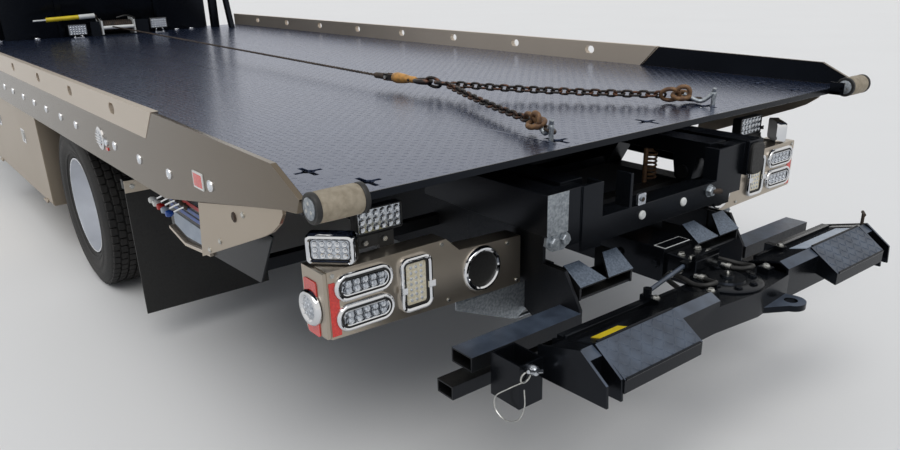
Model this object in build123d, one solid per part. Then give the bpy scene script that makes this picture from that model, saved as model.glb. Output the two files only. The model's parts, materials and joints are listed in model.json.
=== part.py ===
from build123d import *
from math import atan2, degrees, hypot
import os

# Flatbed tow truck: a slide-back car carrier with a wheel lift at its tail.
# Lengths are millimetres. X runs forward from the tail edge of the deck,
# Y to the truck's left and Z up from the ground.

# deck
deckLength = 6250
deckHalfWidth = 1295.5
deckTop = 1020
floorThickness = 8
frameDepth = 92
crossmemberStep = 406.4
bandDepth = 185
bandThickness = 15
railHeight = 100
railThickness = 27
railStart = 975
tailRise = 450
sillRear = 20
sillFront = 6120
sillInner = 335
sillOuter = 425
footThickness = 8
wingHeight = 87
bandEdge = [(87, deckTop - 22), (623, deckTop - 125), (966, deckTop - bandDepth)]
slotPitch = 609.6
slotFirst = 1430
slotLength = 65
slotHeight = 40
keySlots = [(91, 1044), (293, 1106), (94, 345), (91, -87), (128, -473), (91, -1044), (293, -1106)]

# tilting subframe
tubeWidth = 95
tubeWall = 8
tubeOuter = 427
beamFront = -5
sidePlateY = 300
archFront = 470
subframeFront = 6150
pivotX = 100
pivotZ = 800
pinRadius = 25
runningFit = 0.08
slideFit = 0.5
moveGap = 6
seatGap = 0.3

# chassis
railTop = 760
railDepth = 260
railOuter = 432.5
railFlange = 75
railWeb = 8
railFront = 8900
railRear = 140
plateThickness = 12

# wheels
wheelRadius = 421.5
rimRadius = 247.6
rimWidth = 190
tyreWidth = 235
dualSpacing = 280
rearAxleX = 2610
rearOuterY = 1117.5
frontAxleX = 8270
frontWheelY = 1010
kingpinY = 850

# cab and hood
cabRear = 6400
cabFront = 7740
cabFloor = 880
cabRoof = 2375
cabHalfWidth = 1030
cabWall = 45
panelGap = 6
hoodGap = 12
fenderBottom = 690
glassThickness = 5
hoodSkin = 7
bumperFront = 9120

hoodHingeX = 9000
hoodHingeZ = 800
doorHingeX = 7480
doorHingeY = 1042
lidHingeY = deckHalfWidth - 27.5
lidHingeZ = 300
boxInner = 700
boxOuter = deckHalfWidth - 37.5
boxRear = 3180
boxFront = 4880
boxUnder = 300
boxTop = 825
tankY = 840
tankRadius = 195
engineHalf = 280

# wheel lift
liftPivotX = 950
liftPivotZ = 600
barUnder = 500
barRear = -430
barFront = -262
barHalfWidth = 757
barWall = 8
hubHalf = 187
hubTop = 585
tabTip = -516
tabRadius = 46
tabHole = 21
tabY = -150
cheekInner = 118

# lamp panels and levers at the tail
panelRear = 130
panelOuter = 1165
panelInner = 463
panelUnder = 586
panelTop = 785
controlY = 1180

# tilt cylinders
cylinderY = 500
cylinderBaseX = 3550
cylinderBaseZ = 430
cylinderPinRadius = 20
rodEyeX = 4450
rodEyeZ = 838
barrelRadius = 52
rodRadius = 30
rodPinRadius = 20

# deck ram
ramZ = 840
ramBarrel = 58
ramRod = 30
ramRear = 2240
ramFront = 6080
ramLugX = 1960

# headboard
boardX = 6040

floorUnder = deckTop - floorThickness
sillUnder = floorUnder - frameDepth
bandUnder = deckTop - bandDepth
tubeTop = sillUnder - slideFit
tubeUnder = railTop + slideFit
centreX = (bumperFront + tabTip) / 2


def block(x0, x1, y0, y1, z0, z1):
    return Pos((x0 + x1) / 2, (y0 + y1) / 2, (z0 + z1) / 2) * Box(x1 - x0, y1 - y0, z1 - z0)


def outline(points):
    return make_face(Polyline(*points, close=True))


def sidePlate(points, y0, y1):
    # a side view of (x, z) points carried across from y0 to y1
    return Pos(0, y1, 0) * extrude(Plane.XZ * outline(points), amount=y1 - y0)


def rearPlate(points, x0, x1):
    # an end view of (y, z) points carried along from x0 to x1
    return Pos(x0, 0, 0) * extrude(Plane.YZ * outline(points), amount=x1 - x0)


def planPlate(points, z0, z1):
    # a plan of (x, y) points carried up from z0 to z1
    return Pos(0, 0, z0) * extrude(outline(points), amount=z1 - z0)


def barX(y, z, x0, x1, radius):
    return Pos((x0 + x1) / 2, y, z) * Rot(0, 90, 0) * Cylinder(radius, x1 - x0)


def barY(x, z, y0, y1, radius):
    return Pos(x, (y0 + y1) / 2, z) * Rot(90, 0, 0) * Cylinder(radius, y1 - y0)


def barZ(x, y, z0, z1, radius):
    return Pos(x, y, (z0 + z1) / 2) * Cylinder(radius, z1 - z0)


def turned(points):
    # (radius, y) points turned about the Y axis
    return revolve(outline(points), Axis.Y)


def right(shape):
    return mirror(shape, about=Plane.XZ)


def both(shape):
    return [shape, right(shape)]


def solidsOf(shapes):
    return [solid for shape in shapes for solid in shape.solids()]


def write(name, *shapes):
    solids = [Pos(-centreX, 0, 0) * solid for solid in solidsOf(shapes)]
    export_step(Compound(children=solids), f"parts/{name}.step")
    print(name, len(solids))


def sillBottom(x):
    # the deck's underside climbs towards its tail
    share = (tailRise - min(x, tailRise)) / (tailRise - sillRear)
    return sillUnder + (floorUnder - 12 - sillUnder) * share


# wheels

def tyre(y):
    half = tyreWidth / 2
    shoulder = wheelRadius - 14
    widest = (rimRadius + wheelRadius) / 2
    bead = rimWidth / 2 - 4
    points = [
        (rimRadius, -bead), (widest, -half), (shoulder, -0.86 * half), (wheelRadius, -0.72 * half),
        (wheelRadius, 0.72 * half), (shoulder, 0.86 * half), (widest, half), (rimRadius, bead),
    ]
    return Pos(0, y, 0) * turned(points)


def rim(y, discY, hubRadius, outward):
    # outward is 1 where the disc stands proud of the hub face towards +Y, -1 where it dishes in
    lip = rimWidth / 2
    wall = 8
    inner = rimRadius - wall
    barrel = turned([(inner, y - lip), (rimRadius, y - lip), (rimRadius, y + lip), (inner, y + lip)])
    disc = turned([
        (hubRadius, discY - 6), (hubRadius + 75, discY - 6), (inner + 2, discY + outward * 46 - 6),
        (inner + 2, discY + outward * 46 + 6), (hubRadius + 75, discY + 6), (hubRadius, discY + 6),
    ])
    for place in PolarLocations(hubRadius + 102, 8):
        disc -= Pos(0, discY, 0) * Rot(90, 0, 0) * place * Cylinder(24, 200)
    return barrel + disc


def wheelPlace(x, shape):
    return Pos(x, 0, wheelRadius) * shape


def frontWheel():
    discY = frontWheelY - 20
    drum = kingpinY + 68
    hub = turned([
        (46, drum), (180, drum), (180, discY - 16), (110, discY - 10), (110, discY + 70), (80, discY + 95),
        (0, discY + 95), (0, discY + 60), (46, discY + 60),
    ])
    wheel = rim(frontWheelY, discY, 105, 1) + hub
    return wheelPlace(frontAxleX, tyre(frontWheelY)), wheelPlace(frontAxleX, wheel)


def rearWheel():
    innerY = rearOuterY - dualSpacing
    seat = (rearOuterY + innerY) / 2
    drum = seat - 190
    hub = turned([
        (46, drum), (205, drum), (205, drum + 120), (112, drum + 150), (112, seat + 90), (85, seat + 115),
        (0, seat + 115), (0, seat + 80), (46, seat + 80),
    ])
    outer = rim(rearOuterY, seat + 6, 105, 1)
    inner = rim(innerY, seat - 6, 105, -1)
    tyres = [wheelPlace(rearAxleX, tyre(innerY)), wheelPlace(rearAxleX, tyre(rearOuterY))]
    return tyres, wheelPlace(rearAxleX, outer + inner + hub)


def buildWheels():
    frontTyre, frontRim = frontWheel()
    rearTyres, rearRims = rearWheel()
    write("front_tyre_left", frontTyre)
    write("front_tyre_right", right(frontTyre))
    write("front_rim_left", frontRim)
    write("front_rim_right", right(frontRim))
    write("rear_tyres_left", *rearTyres)
    write("rear_tyres_right", *[right(each) for each in rearTyres])
    write("rear_rims_left", rearRims)
    write("rear_rims_right", right(rearRims))


# chassis

def frameRail():
    inside = railOuter - railFlange
    web = railOuter - railWeb
    under = railTop - railDepth
    return rearPlate([
        (railOuter, under), (railOuter, railTop), (inside, railTop), (inside, railTop - railWeb),
        (web, railTop - railWeb), (web, under + railWeb), (inside, under + railWeb), (inside, under),
    ], railRear, railFront)


def crossmember(x):
    # it reaches into both channels
    reach = railOuter - railWeb - seatGap
    return block(x - 30, x + 30, -reach, reach, 660, 745)


def sideMember():
    # the deck's hinge pin and the bumper's plate, both on one plate outside the rail
    y0 = railOuter + seatGap
    y1 = y0 + plateThickness
    hinge = [(45, 640), (45, 840), (75, 862), (125, 862), (155, 840), (175, 750), (420, 740), (420, 560)]
    plate = sidePlate(hinge, y0, y1)
    plate += sidePlate([(-118, 404), (-118, 540), (-50, 650), (220, 650), (220, 520), (0, 404)], y0, y1)
    return plate + barY(pivotX, pivotZ, tubeOuter - tubeWidth - 8, y1 + 8, pinRadius)


def cylinderAnchor():
    under = railTop - railDepth - seatGap
    tip = cylinderBaseZ - 30
    plate = sidePlate([
        (cylinderBaseX - 90, under), (cylinderBaseX + 90, under),
        (cylinderBaseX + 35, tip), (cylinderBaseX - 35, tip),
    ], railOuter - 12, railOuter)
    return plate + barY(cylinderBaseX, cylinderBaseZ, railOuter - 12, cylinderY + 32, cylinderPinRadius)


def sideArms():
    # what stands out from the rail's web: x from, x to, y to, z from, z to
    start = railOuter + seatGap
    lampStart = start + plateThickness + seatGap
    boxSide = boxInner - seatGap
    tankSide = tankY - tankRadius - seatGap
    arms = [block(150, 190, lampStart, panelInner - seatGap, 640, 690)]
    for x0, x1, y1, z0, z1 in (
        (1690, 1720, 1240, 705, 745),
        (3400, 3440, boxSide, 600, 680), (4500, 4540, boxSide, 600, 680),
        (6600, 6640, tankSide, 560, 640), (7150, 7190, tankSide, 560, 640),
    ):
        arms.append(block(x0, x1, start, y1, z0, z1))
    arms.append(block(8300, 8360, engineHalf + seatGap, railOuter - railWeb - seatGap, 580, 650))
    for x in (6600, 7600):
        arms.append(barZ(x, 395, railTop + seatGap, cabFloor - seatGap, 30))
    return arms


def hoodArm():
    side = [(8830, 660), (8890, 660), (9012, 782), (9018, 800), (9000, 818), (8980, 810), (8830, 745)]
    arm = sidePlate(side, 330, 342)
    return arm + barY(hoodHingeX, hoodHingeZ, 330, 368, 12)


def liftMount():
    # cheeks and a pin that carry the boom of the wheel lift, under one wide block
    under = 700
    top = under - seatGap
    reach = railOuter - railWeb - seatGap
    cheek = sidePlate([
        (liftPivotX - 90, 520), (liftPivotX - 90, 660), (liftPivotX - 6, top), (liftPivotX + 218, top),
        (liftPivotX + 90, 520),
    ], cheekInner, cheekInner + 20)
    pin = barY(liftPivotX, liftPivotZ, seatGap - cheekInner, cheekInner - seatGap, 24)
    return [*both(cheek), pin, block(liftPivotX - 60, liftPivotX + 220, -reach, reach, under, 745)]


def chassisFrame():
    front = crossmember(8860) + hoodArm() + right(hoodArm())
    members = [crossmember(x) for x in (200, 1500, 2050, 3250, 4600, 5900, 7000)]
    sides = []
    for each in (frameRail(), sideMember(), cylinderAnchor(), crossbarPocket(), *bumperTubes(), *sideArms()):
        sides += both(each)
    panelArm = block(600, 640, railOuter + seatGap, controlY, 640, 680)
    return [front, *members, *sides, panelArm, *liftMount()]


def crossbarPocket():
    # a box behind a sloping mouth plate, whose notch takes the stowed crossbar's rib
    lower, upper, half, notch = 606, 658, 124, 55
    slope = Plane(origin=(-100, 300, lower), x_dir=(0, 1, 0), z_dir=(lower - upper, 0, 75))
    length = hypot(upper - lower, 75)
    mouth = outline([(-half, 0), (-5, 0), (-notch, -length), (-half, -length)])
    pocket = extrude(slope * mouth, amount=-10) + extrude(slope * mirror(mouth, about=Plane.YZ), amount=-10)
    pocket += block(-92, 60, 300 - half, 300 + half, 560, 568)
    for y in (300 - half, 300 + half - 8):
        pocket += sidePlate([(-96, 560), (-96, 604), (-30, 648), (60, 648), (60, 560)], y, y + 8)
    return pocket + block(30, 220, 410, 300 + half, 560, 650)


def hollowBarY(x0, x1, y0, y1, z0, z1, wall):
    return block(x0, x1, y0, y1, z0, z1) - block(x0 + wall, x1 - wall, y0 - 1, y1 + 1, z0 + wall, z1 - wall)


def bumperTubes():
    start = railOuter + plateThickness + 2 * seatGap
    return [hollowBarY(-125, -35, start, 880, 488, 534, 5), hollowBarY(-100, -30, start, 930, 408, 450, 5)]


def rearAxle():
    beam = barY(rearAxleX, wheelRadius, -760, 760, 68)
    section = [(0, -165), (90, -165), (185, -60), (185, 60), (90, 165), (0, 165)]
    bowl = wheelPlace(rearAxleX, turned(section))
    spindle = barY(rearAxleX, wheelRadius, -1050, 1050, 46 - runningFit)
    return beam + bowl + spindle


def leafSpring(x, y, half, under, top):
    leaf = sidePlate([
        (x - half, top), (x - half, top - 12), (x - 90, under), (x + 90, under),
        (x + half, top - 12), (x + half, top), (x + 90, under + 45), (x - 90, under + 45),
    ], y - 38, y + 38)
    near = min(abs(y) - 38, railOuter + seatGap)
    low, high = (near, y + 38) if y > 0 else (y - 38, -near)
    for end in (x - half, x + half):
        leaf += block(end - 40, end + 40, low, high, top - 12, top + 90)
    return leaf


def axles():
    rear = rearAxle()
    seat = barY(rearAxleX, wheelRadius, -700, 700, 68 + seatGap)
    springs = [leafSpring(rearAxleX, y, 560, wheelRadius + 60, 590) - seat for y in (520, -520)]
    front = block(frontAxleX - 40, frontAxleX + 40, -790, 790, 370, 450)
    for pin in both(barZ(frontAxleX, kingpinY, 330, 520, 22 - runningFit)):
        front += pin
    for boss in both(block(frontAxleX - 35, frontAxleX + 35, kingpinY - 60, kingpinY, 385, 465)):
        front += boss
    rails = block(frontAxleX - 700, frontAxleX + 700, -900, 900, railTop - railDepth - seatGap, 900)
    springs += [leafSpring(frontAxleX, y, 560, 450 + seatGap, 490) - rails for y in (395, -395)]
    return [rear, front, *springs]


def knuckle():
    body = block(frontAxleX - 40, frontAxleX + 40, kingpinY - 40, kingpinY + 45, 330, 380)
    body += block(frontAxleX - 40, frontAxleX + 40, kingpinY - 40, kingpinY + 45, 472, 520)
    body += block(frontAxleX - 40, frontAxleX + 40, kingpinY + 42, kingpinY + 62, 330, 520)
    body += barY(frontAxleX, wheelRadius, kingpinY + 60, frontWheelY + 30, 46 - runningFit)
    return body - barZ(frontAxleX, kingpinY, 300, 560, 22)


def driveline():
    engine = block(cabFront + 20, 8700, -engineHalf, engineHalf, 560, 1230)
    box = barX(0, 600, 7050, cabFront + 30, 170)
    joint = rearAxleX + 200
    drop = 600 - wheelRadius - 20
    slope = degrees(atan2(drop, 7050 - joint))
    middle = Pos((7050 + joint) / 2, 0, 600 - drop / 2)
    shaft = middle * Rot(0, 90 - slope, 0) * Cylinder(45, hypot(7050 - joint, drop))
    return engine + box + shaft


# cab

cabProfile = [(cabRear, cabFloor), (cabRear + 20, cabRoof - 75), (cabRear + 100, cabRoof - 10), (7090, cabRoof),
              (7200, cabRoof - 55), (7660, 1650), (cabFront, 1580), (cabFront, cabFloor)]
cabShoulder = cabHalfWidth - 130
cabSection = [(-cabHalfWidth, cabFloor), (-cabHalfWidth, 1560), (-cabShoulder, cabRoof - 75),
              (80 - cabShoulder, cabRoof), (cabShoulder - 80, cabRoof), (cabShoulder, cabRoof - 75),
              (cabHalfWidth, 1560), (cabHalfWidth, cabFloor)]
doorOutline = [(6700, 950), (6700, cabRoof - 135), (7080, cabRoof - 135), (7480, 1660), (7480, 950)]
doorWindow = [(6765, 1600), (6765, cabRoof - 200), (7050, cabRoof - 200), (7395, 1672), (7395, 1600)]
windscreenOutline = [(50 - cabShoulder, 1700), (cabShoulder - 50, 1700), (cabShoulder - 135, cabRoof - 120),
                     (135 - cabShoulder, cabRoof - 120)]
rearWindowOutline = [(-560, 1680), (560, 1680), (560, cabRoof - 255), (-560, cabRoof - 255)]


def inset(points, depth):
    face = outline(points)
    return offset(face, amount=-depth, kind=Kind.INTERSECTION) if depth else face


def cabBody(depth):
    side = Pos(0, 1200, 0) * extrude(Plane.XZ * inset(cabProfile, depth), amount=2400)
    end = Pos(cabRear - 100, 0, 0) * extrude(Plane.YZ * inset(cabSection, depth), amount=cabFront - cabRear + 200)
    return side & end


def doorPrism(depth):
    return Pos(0, 1200, 0) * extrude(Plane.XZ * inset(doorOutline, depth), amount=500)


def doorKnuckle(z, way):
    # half of a door hinge: its leaf runs forward onto the cab with way 1, back onto the door with -1
    leafEnd = doorHingeX + way * 26
    rear, front = sorted((doorHingeX, leafEnd))
    barrel = barZ(doorHingeX, doorHingeY, z, z + 40, 8)
    return barrel + block(rear, front, cabHalfWidth - 2, doorHingeY, z, z + 40)


def buildCab():
    wall = cabBody(0) - cabBody(cabWall)
    pane = cabBody(18) - cabBody(18 + glassThickness)
    windscreen = rearPlate(windscreenOutline, 7150, 8000)
    rearWindow = rearPlate(rearWindowOutline, cabRear - 50, cabRear + 200)
    shell = wall - doorPrism(0) - right(doorPrism(0)) - windscreen - rearWindow
    for z in (1080, 1420):
        for each in both(doorKnuckle(z, 1)):
            shell += each
    write("cab_shell", shell)
    write("cab_glass", pane & windscreen, pane & rearWindow)
    window = sidePlate(doorWindow, 700, 1200)
    mirrorArm = block(7300, 7330, 1010, 1180, 1500, 1530) + block(7285, 7335, 1090, 1265, 1530, 1930)
    door = (wall & doorPrism(panelGap)) - window + mirrorArm
    for z in (1080, 1420):
        door += doorKnuckle(z + 40 + seatGap, -1)
    glass = pane & window
    write("door_left", door)
    write("door_right", right(door))
    write("door_glass_left", glass)
    write("door_glass_right", right(glass))


def cabInterior():
    side = [(7690, 925), (7690, 1560), (7480, 1540), (7400, 1420), (7440, 1300), (7560, 1250), (7560, 925)]
    dash = sidePlate(side, -960, 960)
    seats = []
    for y in (480, -480):
        cushion = sidePlate([(6560, 1080), (6560, 1240), (6640, 1250), (7090, 1265), (7110, 1230), (7080, 1120)],
                            y - 255, y + 255)
        back = sidePlate([(6500, 1230), (6470, 1900), (6500, 1960), (6560, 1960), (6600, 1900), (6660, 1230)],
                         y - 250, y + 250)
        base = block(6600, 6980, y - 200, y + 200, cabFloor + cabWall, 1085)
        seats.append(cushion + back + base)
    column = Pos(7340, 480, 1390) * Rot(0, -62, 0) * Cylinder(25, 230)
    hoop = Pos(7240, 480, 1450) * Rot(0, -62, 0) * (Cylinder(219, 24) - Cylinder(193, 40))
    spokes = Pos(7240, 480, 1450) * Rot(0, -62, 0) * Box(30, 400, 18)
    return [dash, *seats, column + hoop + spokes]


# hood, with the fenders and grille in one moulding

def hoodCore(skin):
    rear = cabFront + hoodGap - skin * 10
    side = sidePlate([
        (rear, 700), (rear, 1560 - skin), (8600, 1420 - skin), (8960 - skin, 1320 - skin),
        (9050 - skin, 1220 - skin), (9070 - skin, 770 - skin * 10),
    ], -900, 900)
    plan = planPlate([
        (cabFront - 100, 840 - skin), (cabFront, 830 - skin), (9070, 640 - skin), (9070, skin - 640),
        (cabFront, skin - 830), (cabFront - 100, skin - 840),
    ], 600, 1700)
    return side & plan


def fender(skin):
    rear = cabFront + hoodGap + skin
    under = fenderBottom - skin * 10
    return sidePlate([
        (rear, under), (rear, 1110 - skin), (rear + 120, 1160 - skin), (8850, 1150 - skin),
        (8985 - skin, 1080 - skin), (9030 - skin, 900), (9020 - skin, under),
    ], 500, 1165 - skin)


def hood():
    outer = hoodCore(0)
    inner = hoodCore(hoodSkin)
    for each in both(fender(0)):
        outer += each
    for each in both(fender(hoodSkin)):
        inner += each
    shell = outer - inner - block(cabFront, 9060 - hoodSkin - 20, -500, 500, 500, 900)
    shell -= barY(frontAxleX, wheelRadius, -1300, 1300, 505)
    for z in range(860, 1180, 45):
        shell -= block(8990, 9100, -420, 420, z, z + 28)
    ear = block(hoodHingeX - 18, 9066, 350, 362, hoodHingeZ - 18, hoodHingeZ + 18)
    ear -= barY(hoodHingeX, hoodHingeZ, 340, 370, 12 + runningFit)
    for each in both(ear):
        shell += each
    return shell


def buildFront():
    lamp = block(9000, 9045, 690, 1040, 930, 1060)
    write("hood_shell", hood() - lamp - right(lamp))
    write("headlamps", *both(lamp))
    bumper = rearPlate([
        (-1150, 500), (-1190, 540), (-1190, 700), (-1160, 735), (1160, 735), (1190, 700), (1190, 540), (1150, 500),
    ], bumperFront - 70, bumperFront)
    irons = block(railFront, bumperFront - 70, 360, 425, 530, 700)
    eye = block(9040, 9110, 380, 405, 430, 505) - barY(9078, 462, 370, 415, 20)
    for each in both(irons + eye + block(9040, 9060, 360, 425, 495, 535)):
        bumper += each
    write("front_bumper", bumper)


def fuelTank():
    tank = barX(tankY, 600, 6450, 7450, tankRadius)
    step = block(6480, 7420, 820, 1090, 800, 822) + block(6480, 7420, 1060, 1090, 420, 822)
    step += block(6500, 6530, 640, 1090, 640, 680) + block(7370, 7400, 640, 1090, 640, 680)
    step += block(6500, 7400, 900, 1090, 420, 440)
    return tank + step


# tilt cylinders

def cylinderPlace(shape):
    lean = degrees(atan2(rodEyeZ - cylinderBaseZ, rodEyeX - cylinderBaseX))
    return Pos(cylinderBaseX, cylinderY, cylinderBaseZ) * Rot(0, -lean, 0) * shape


def cylinderSpan():
    return hypot(rodEyeX - cylinderBaseX, rodEyeZ - cylinderBaseZ)


def tiltBarrel():
    span = cylinderSpan()
    eye = barY(0, 0, -30, 30, 42)
    body = barX(0, 0, 30, span - 150, barrelRadius)
    bore = barX(0, 0, 90, span - 140, rodRadius + 1)
    pin = barY(0, 0, -60, 60, cylinderPinRadius + runningFit)
    return cylinderPlace((eye + body) - bore - pin)


def tiltRod():
    span = cylinderSpan()
    rod = barX(0, 0, 150, span - 30, rodRadius)
    eye = barY(span, 0, -26, 26, 40)
    pin = barY(span, 0, -60, 60, 26)
    return cylinderPlace((rod + eye) - pin)


def subframeTube():
    # a box tube whose tail is a shallower arm over the hinge, with a boss hanging from it for the pin
    inner = tubeOuter - tubeWidth
    rear = beamFront + seatGap
    armUnder = 862
    side = [(rear, armUnder), (archFront - 60, armUnder), (archFront, tubeUnder), (subframeFront, tubeUnder),
            (subframeFront, tubeTop), (rear, tubeTop)]
    bore = offset(outline(side), amount=-tubeWall, kind=Kind.INTERSECTION)
    tube = sidePlate(side, inner, tubeOuter)
    tube -= Pos(0, tubeOuter - tubeWall, 0) * extrude(Plane.XZ * bore, amount=tubeWidth - 2 * tubeWall)
    tube += sidePlate([
        (pivotX - 52, armUnder), (pivotX - 37, pivotZ - 25), (pivotX - 20, tubeUnder + 2),
        (pivotX + 20, tubeUnder + 2), (pivotX + 37, pivotZ - 25), (pivotX + 52, armUnder),
    ], inner, tubeOuter)
    return tube - barY(pivotX, pivotZ, inner - 50, tubeOuter + 50, pinRadius + runningFit)


def rearBeam():
    # a low crossbeam with flanged side plates, a guide plate, and an arm with a wear block outside each rail
    rear = beamFront - 60
    beam = block(rear, beamFront, -sidePlateY, sidePlateY, 718, 800)
    outer = sidePlateY + 90
    for y0, y1, z0, x0, x1 in (
        (sidePlateY, sidePlateY + 12, 705, rear, beamFront),
        (sidePlateY, outer, 705, rear, rear + 12),
        (outer - 12, 465, 735, rear + 6, beamFront),
    ):
        for each in both(block(x0, x1, y0, y1, z0, tubeTop - 6)):
            beam += each
    beam += block(rear, beamFront, 160, 172, 790, tubeTop - 6)
    side = [(rear - 13, 794), (rear - 13, tubeTop), (280, tubeTop), (520, 885), (520, 800), (280, 794)]
    for each in both(sidePlate(side, 465, 553)):
        beam += each
    return beam


def subframe():
    reach = tubeOuter - tubeWidth - seatGap
    saddle = barX(0, ramZ, ramRear - seatGap, ramFront + seatGap, ramBarrel + seatGap)
    places = (archFront + 40, 1500, 2300, 3600, 4900, ramFront)
    members = [block(x - 40, x + 40, -reach, reach, 765, 800) - saddle for x in places]
    members.append(block(beamFront + seatGap, 60, -reach, reach, 735, 780))
    barrel = barX(0, ramZ, ramRear, ramFront, ramBarrel) - barX(0, ramZ, ramRear - 40, ramFront - 80, ramRod + 2)
    # stub pins end short of the rod eyes
    pin = barY(rodEyeX, rodEyeZ, tubeOuter + seatGap, cylinderY - 26 - moveGap, rodPinRadius)
    return [*both(subframeTube()), rearBeam(), *members, barrel, *both(pin)]


# deck

def channel(x, under):
    # a rolled channel's section, its open side forward
    return [(x - 25, under), (x + 25, under), (x + 25, under + 6), (x - 19, under + 6), (x - 19, floorUnder - 6),
            (x + 25, floorUnder - 6), (x + 25, floorUnder), (x - 25, floorUnder)]


def sill(memberPlaces):
    front = sillFront - seatGap
    end = floorUnder - 12
    top = sillUnder + footThickness
    web = sidePlate([
        (sillRear, floorUnder), (sillRear, end), (tailRise, sillUnder), (front, sillUnder), (front, floorUnder),
    ], 376, 384)
    for x in memberPlaces:
        web -= block(x - 25 - seatGap, x + 25 + seatGap, 370, 390, memberUnder(x) - seatGap, floorUnder + 1)
    foot = sidePlate([
        (sillRear, end + footThickness), (sillRear, end), (tailRise, sillUnder), (front, sillUnder), (front, top),
        (tailRise, top),
    ], sillInner, sillOuter)
    return web + foot


def memberUnder(x):
    # a crossmember rests on the sill's foot
    return sillBottom(x - 25) + footThickness + seatGap


def deckFrame():
    count = int((sillFront - 60) / crossmemberStep) + 1
    places = [120 + index * crossmemberStep for index in range(count)]
    reach = deckHalfWidth - bandThickness
    members = [sidePlate(channel(x, memberUnder(x)), -reach, reach) for x in places]
    ends = [block(sillFront, sillFront + 60, -reach, reach, sillUnder + 5, floorUnder),
            block(0, sillRear - seatGap, -reach, reach, floorUnder - 12, floorUnder)]
    inner = sillInner - seatGap
    lugEnd = ramLugX + 60
    ram = barX(0, ramZ, ramLugX, ramFront - 180, ramRod)
    ram += block(ramLugX, lugEnd, -40, 40, ramZ - 34, sillUnder - seatGap)
    carrier = block(ramLugX, lugEnd, -inner, inner, sillUnder, sillUnder + 60)
    return [*both(sill(places)), *members, *ends, ram, carrier]


def keySlot():
    return Cylinder(19, 60) + Box(100, 15, 60) + Box(15, 84, 60)


def deckFloor():
    reach = deckHalfWidth - bandThickness
    floor = block(0, deckLength, -reach, reach, floorUnder, deckTop)
    for x, y in keySlots:
        floor -= Pos(x, y, deckTop) * keySlot()
    return floor


def bandPlate():
    face = deckHalfWidth - bandThickness
    return sidePlate([(0, deckTop - 12), *bandEdge, (deckLength, bandUnder), (deckLength, deckTop),
                      (railStart + railHeight - 5, deckTop), (railStart - 5, deckTop + railHeight - 2),
                      (113, deckTop + wingHeight), (-20, deckTop + 26)], face, deckHalfWidth)


def skirtPlate():
    # a gusset below the band's slanting edge
    edge = [(672, 886.4 - seatGap)] + [(x, z - seatGap) for x, z in reversed(bandEdge[:2])]
    return sidePlate([*edge, (87, 984), (112, 954), (159, 921), (217, 894), (387, 829), (705, 702)],
                     deckHalfWidth - bandThickness, deckHalfWidth - 5)


def railSlot():
    cut = 13
    half = slotLength / 2
    rise = slotHeight / 2
    return [
        (-half, -rise + cut), (-half + cut, -rise), (half - cut, -rise), (half, -rise + cut),
        (half, rise - cut), (half - cut, rise), (-half + cut, rise), (-half, rise - cut),
    ]


def topRail():
    face = deckHalfWidth - railThickness
    rail = sidePlate([(railStart + railHeight, deckTop), (railStart, deckTop + railHeight),
                      (deckLength, deckTop + railHeight), (deckLength, deckTop)], face, deckHalfWidth)
    count = int((deckLength - 120 - slotFirst) / slotPitch) + 1
    for index in range(count):
        x = slotFirst + index * slotPitch
        rail -= Pos(x, 0, deckTop + 57) * sidePlate(railSlot(), face - 10, deckHalfWidth + 10)
    return rail


def cornerRoller():
    z = deckTop + 13
    outer = deckHalfWidth - 3.5
    inner = outer - 142
    core = barY(-60, z, inner, outer, 38)
    caps = barY(-60, z, inner - 4, inner, 28) + barY(-60, z, outer, outer + 4, 28)
    hanger = block(-45, 0, inner - 4, outer - 22, deckTop - 20, deckTop - 8)
    return core + caps + hanger + block(-60, 0, inner - 4, inner, deckTop - 20, deckTop + 30)


def headboard():
    top = 1700
    board = block(boardX, boardX + 6, -870, 870, deckTop, top)
    for y in (-420, 420):
        board += block(boardX - 30, boardX + 6, y - 25, y + 25, deckTop, top)
    for side in both(block(boardX - 50, boardX + 6, 930, 1000, deckTop, top)):
        board += side
    brace = [(boardX - 250, deckTop), (boardX - 190, deckTop), (boardX + 6, top), (boardX - 50, top)]
    for each in both(sidePlate(brace, 1030, 1070)):
        board += each
    return board + block(boardX - 50, boardX + 10, -1100, 1100, top, top + 60)


def winch():
    # end flanges with a guide roller between them, the motor on the left and the gearbox on the right
    rear, front = boardX - 170, boardX - 20
    motorEnd, gearEnd, base = 112, -155, deckTop + 10
    body = block(rear - 10, front + 10, -290, 215, deckTop, base)
    for y in (motorEnd, gearEnd - 10):
        body += sidePlate([(rear, base), (rear, 1148), (rear + 50, 1165), (front, 1165), (front, base)], y, y + 10)
    body += block(rear + 10, front - 10, motorEnd + 23, motorEnd + 101, base, 1143)
    body += block(rear + 10, front - 10, gearEnd - 131, gearEnd - 23, base, 1140)
    for y0, y1 in ((motorEnd + 10, motorEnd + 23), (gearEnd - 23, gearEnd - 10)):
        body += barY(rear + 80, 1095, y0, y1, 40)
    body += barY(rear + 80, 1095, gearEnd, motorEnd, 42)
    return body + barY(rear + 14, 1087, gearEnd, motorEnd, 12)


def chainLink(wire, inside, width):
    # a long octagonal ring of square section
    reach = inside / 2 + wire
    half = width / 2
    cut = half * 0.55
    ring = [(-reach, -half + cut), (-reach + cut, -half), (reach - cut, -half), (reach, -half + cut),
            (reach, half - cut), (reach - cut, half), (-reach + cut, half), (-reach, half - cut)]
    shrink = [(px * (reach - wire) / reach, py * (half - wire) / half) for px, py in ring]
    return extrude(outline(ring) - outline(shrink), amount=wire / 2, both=True)


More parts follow.
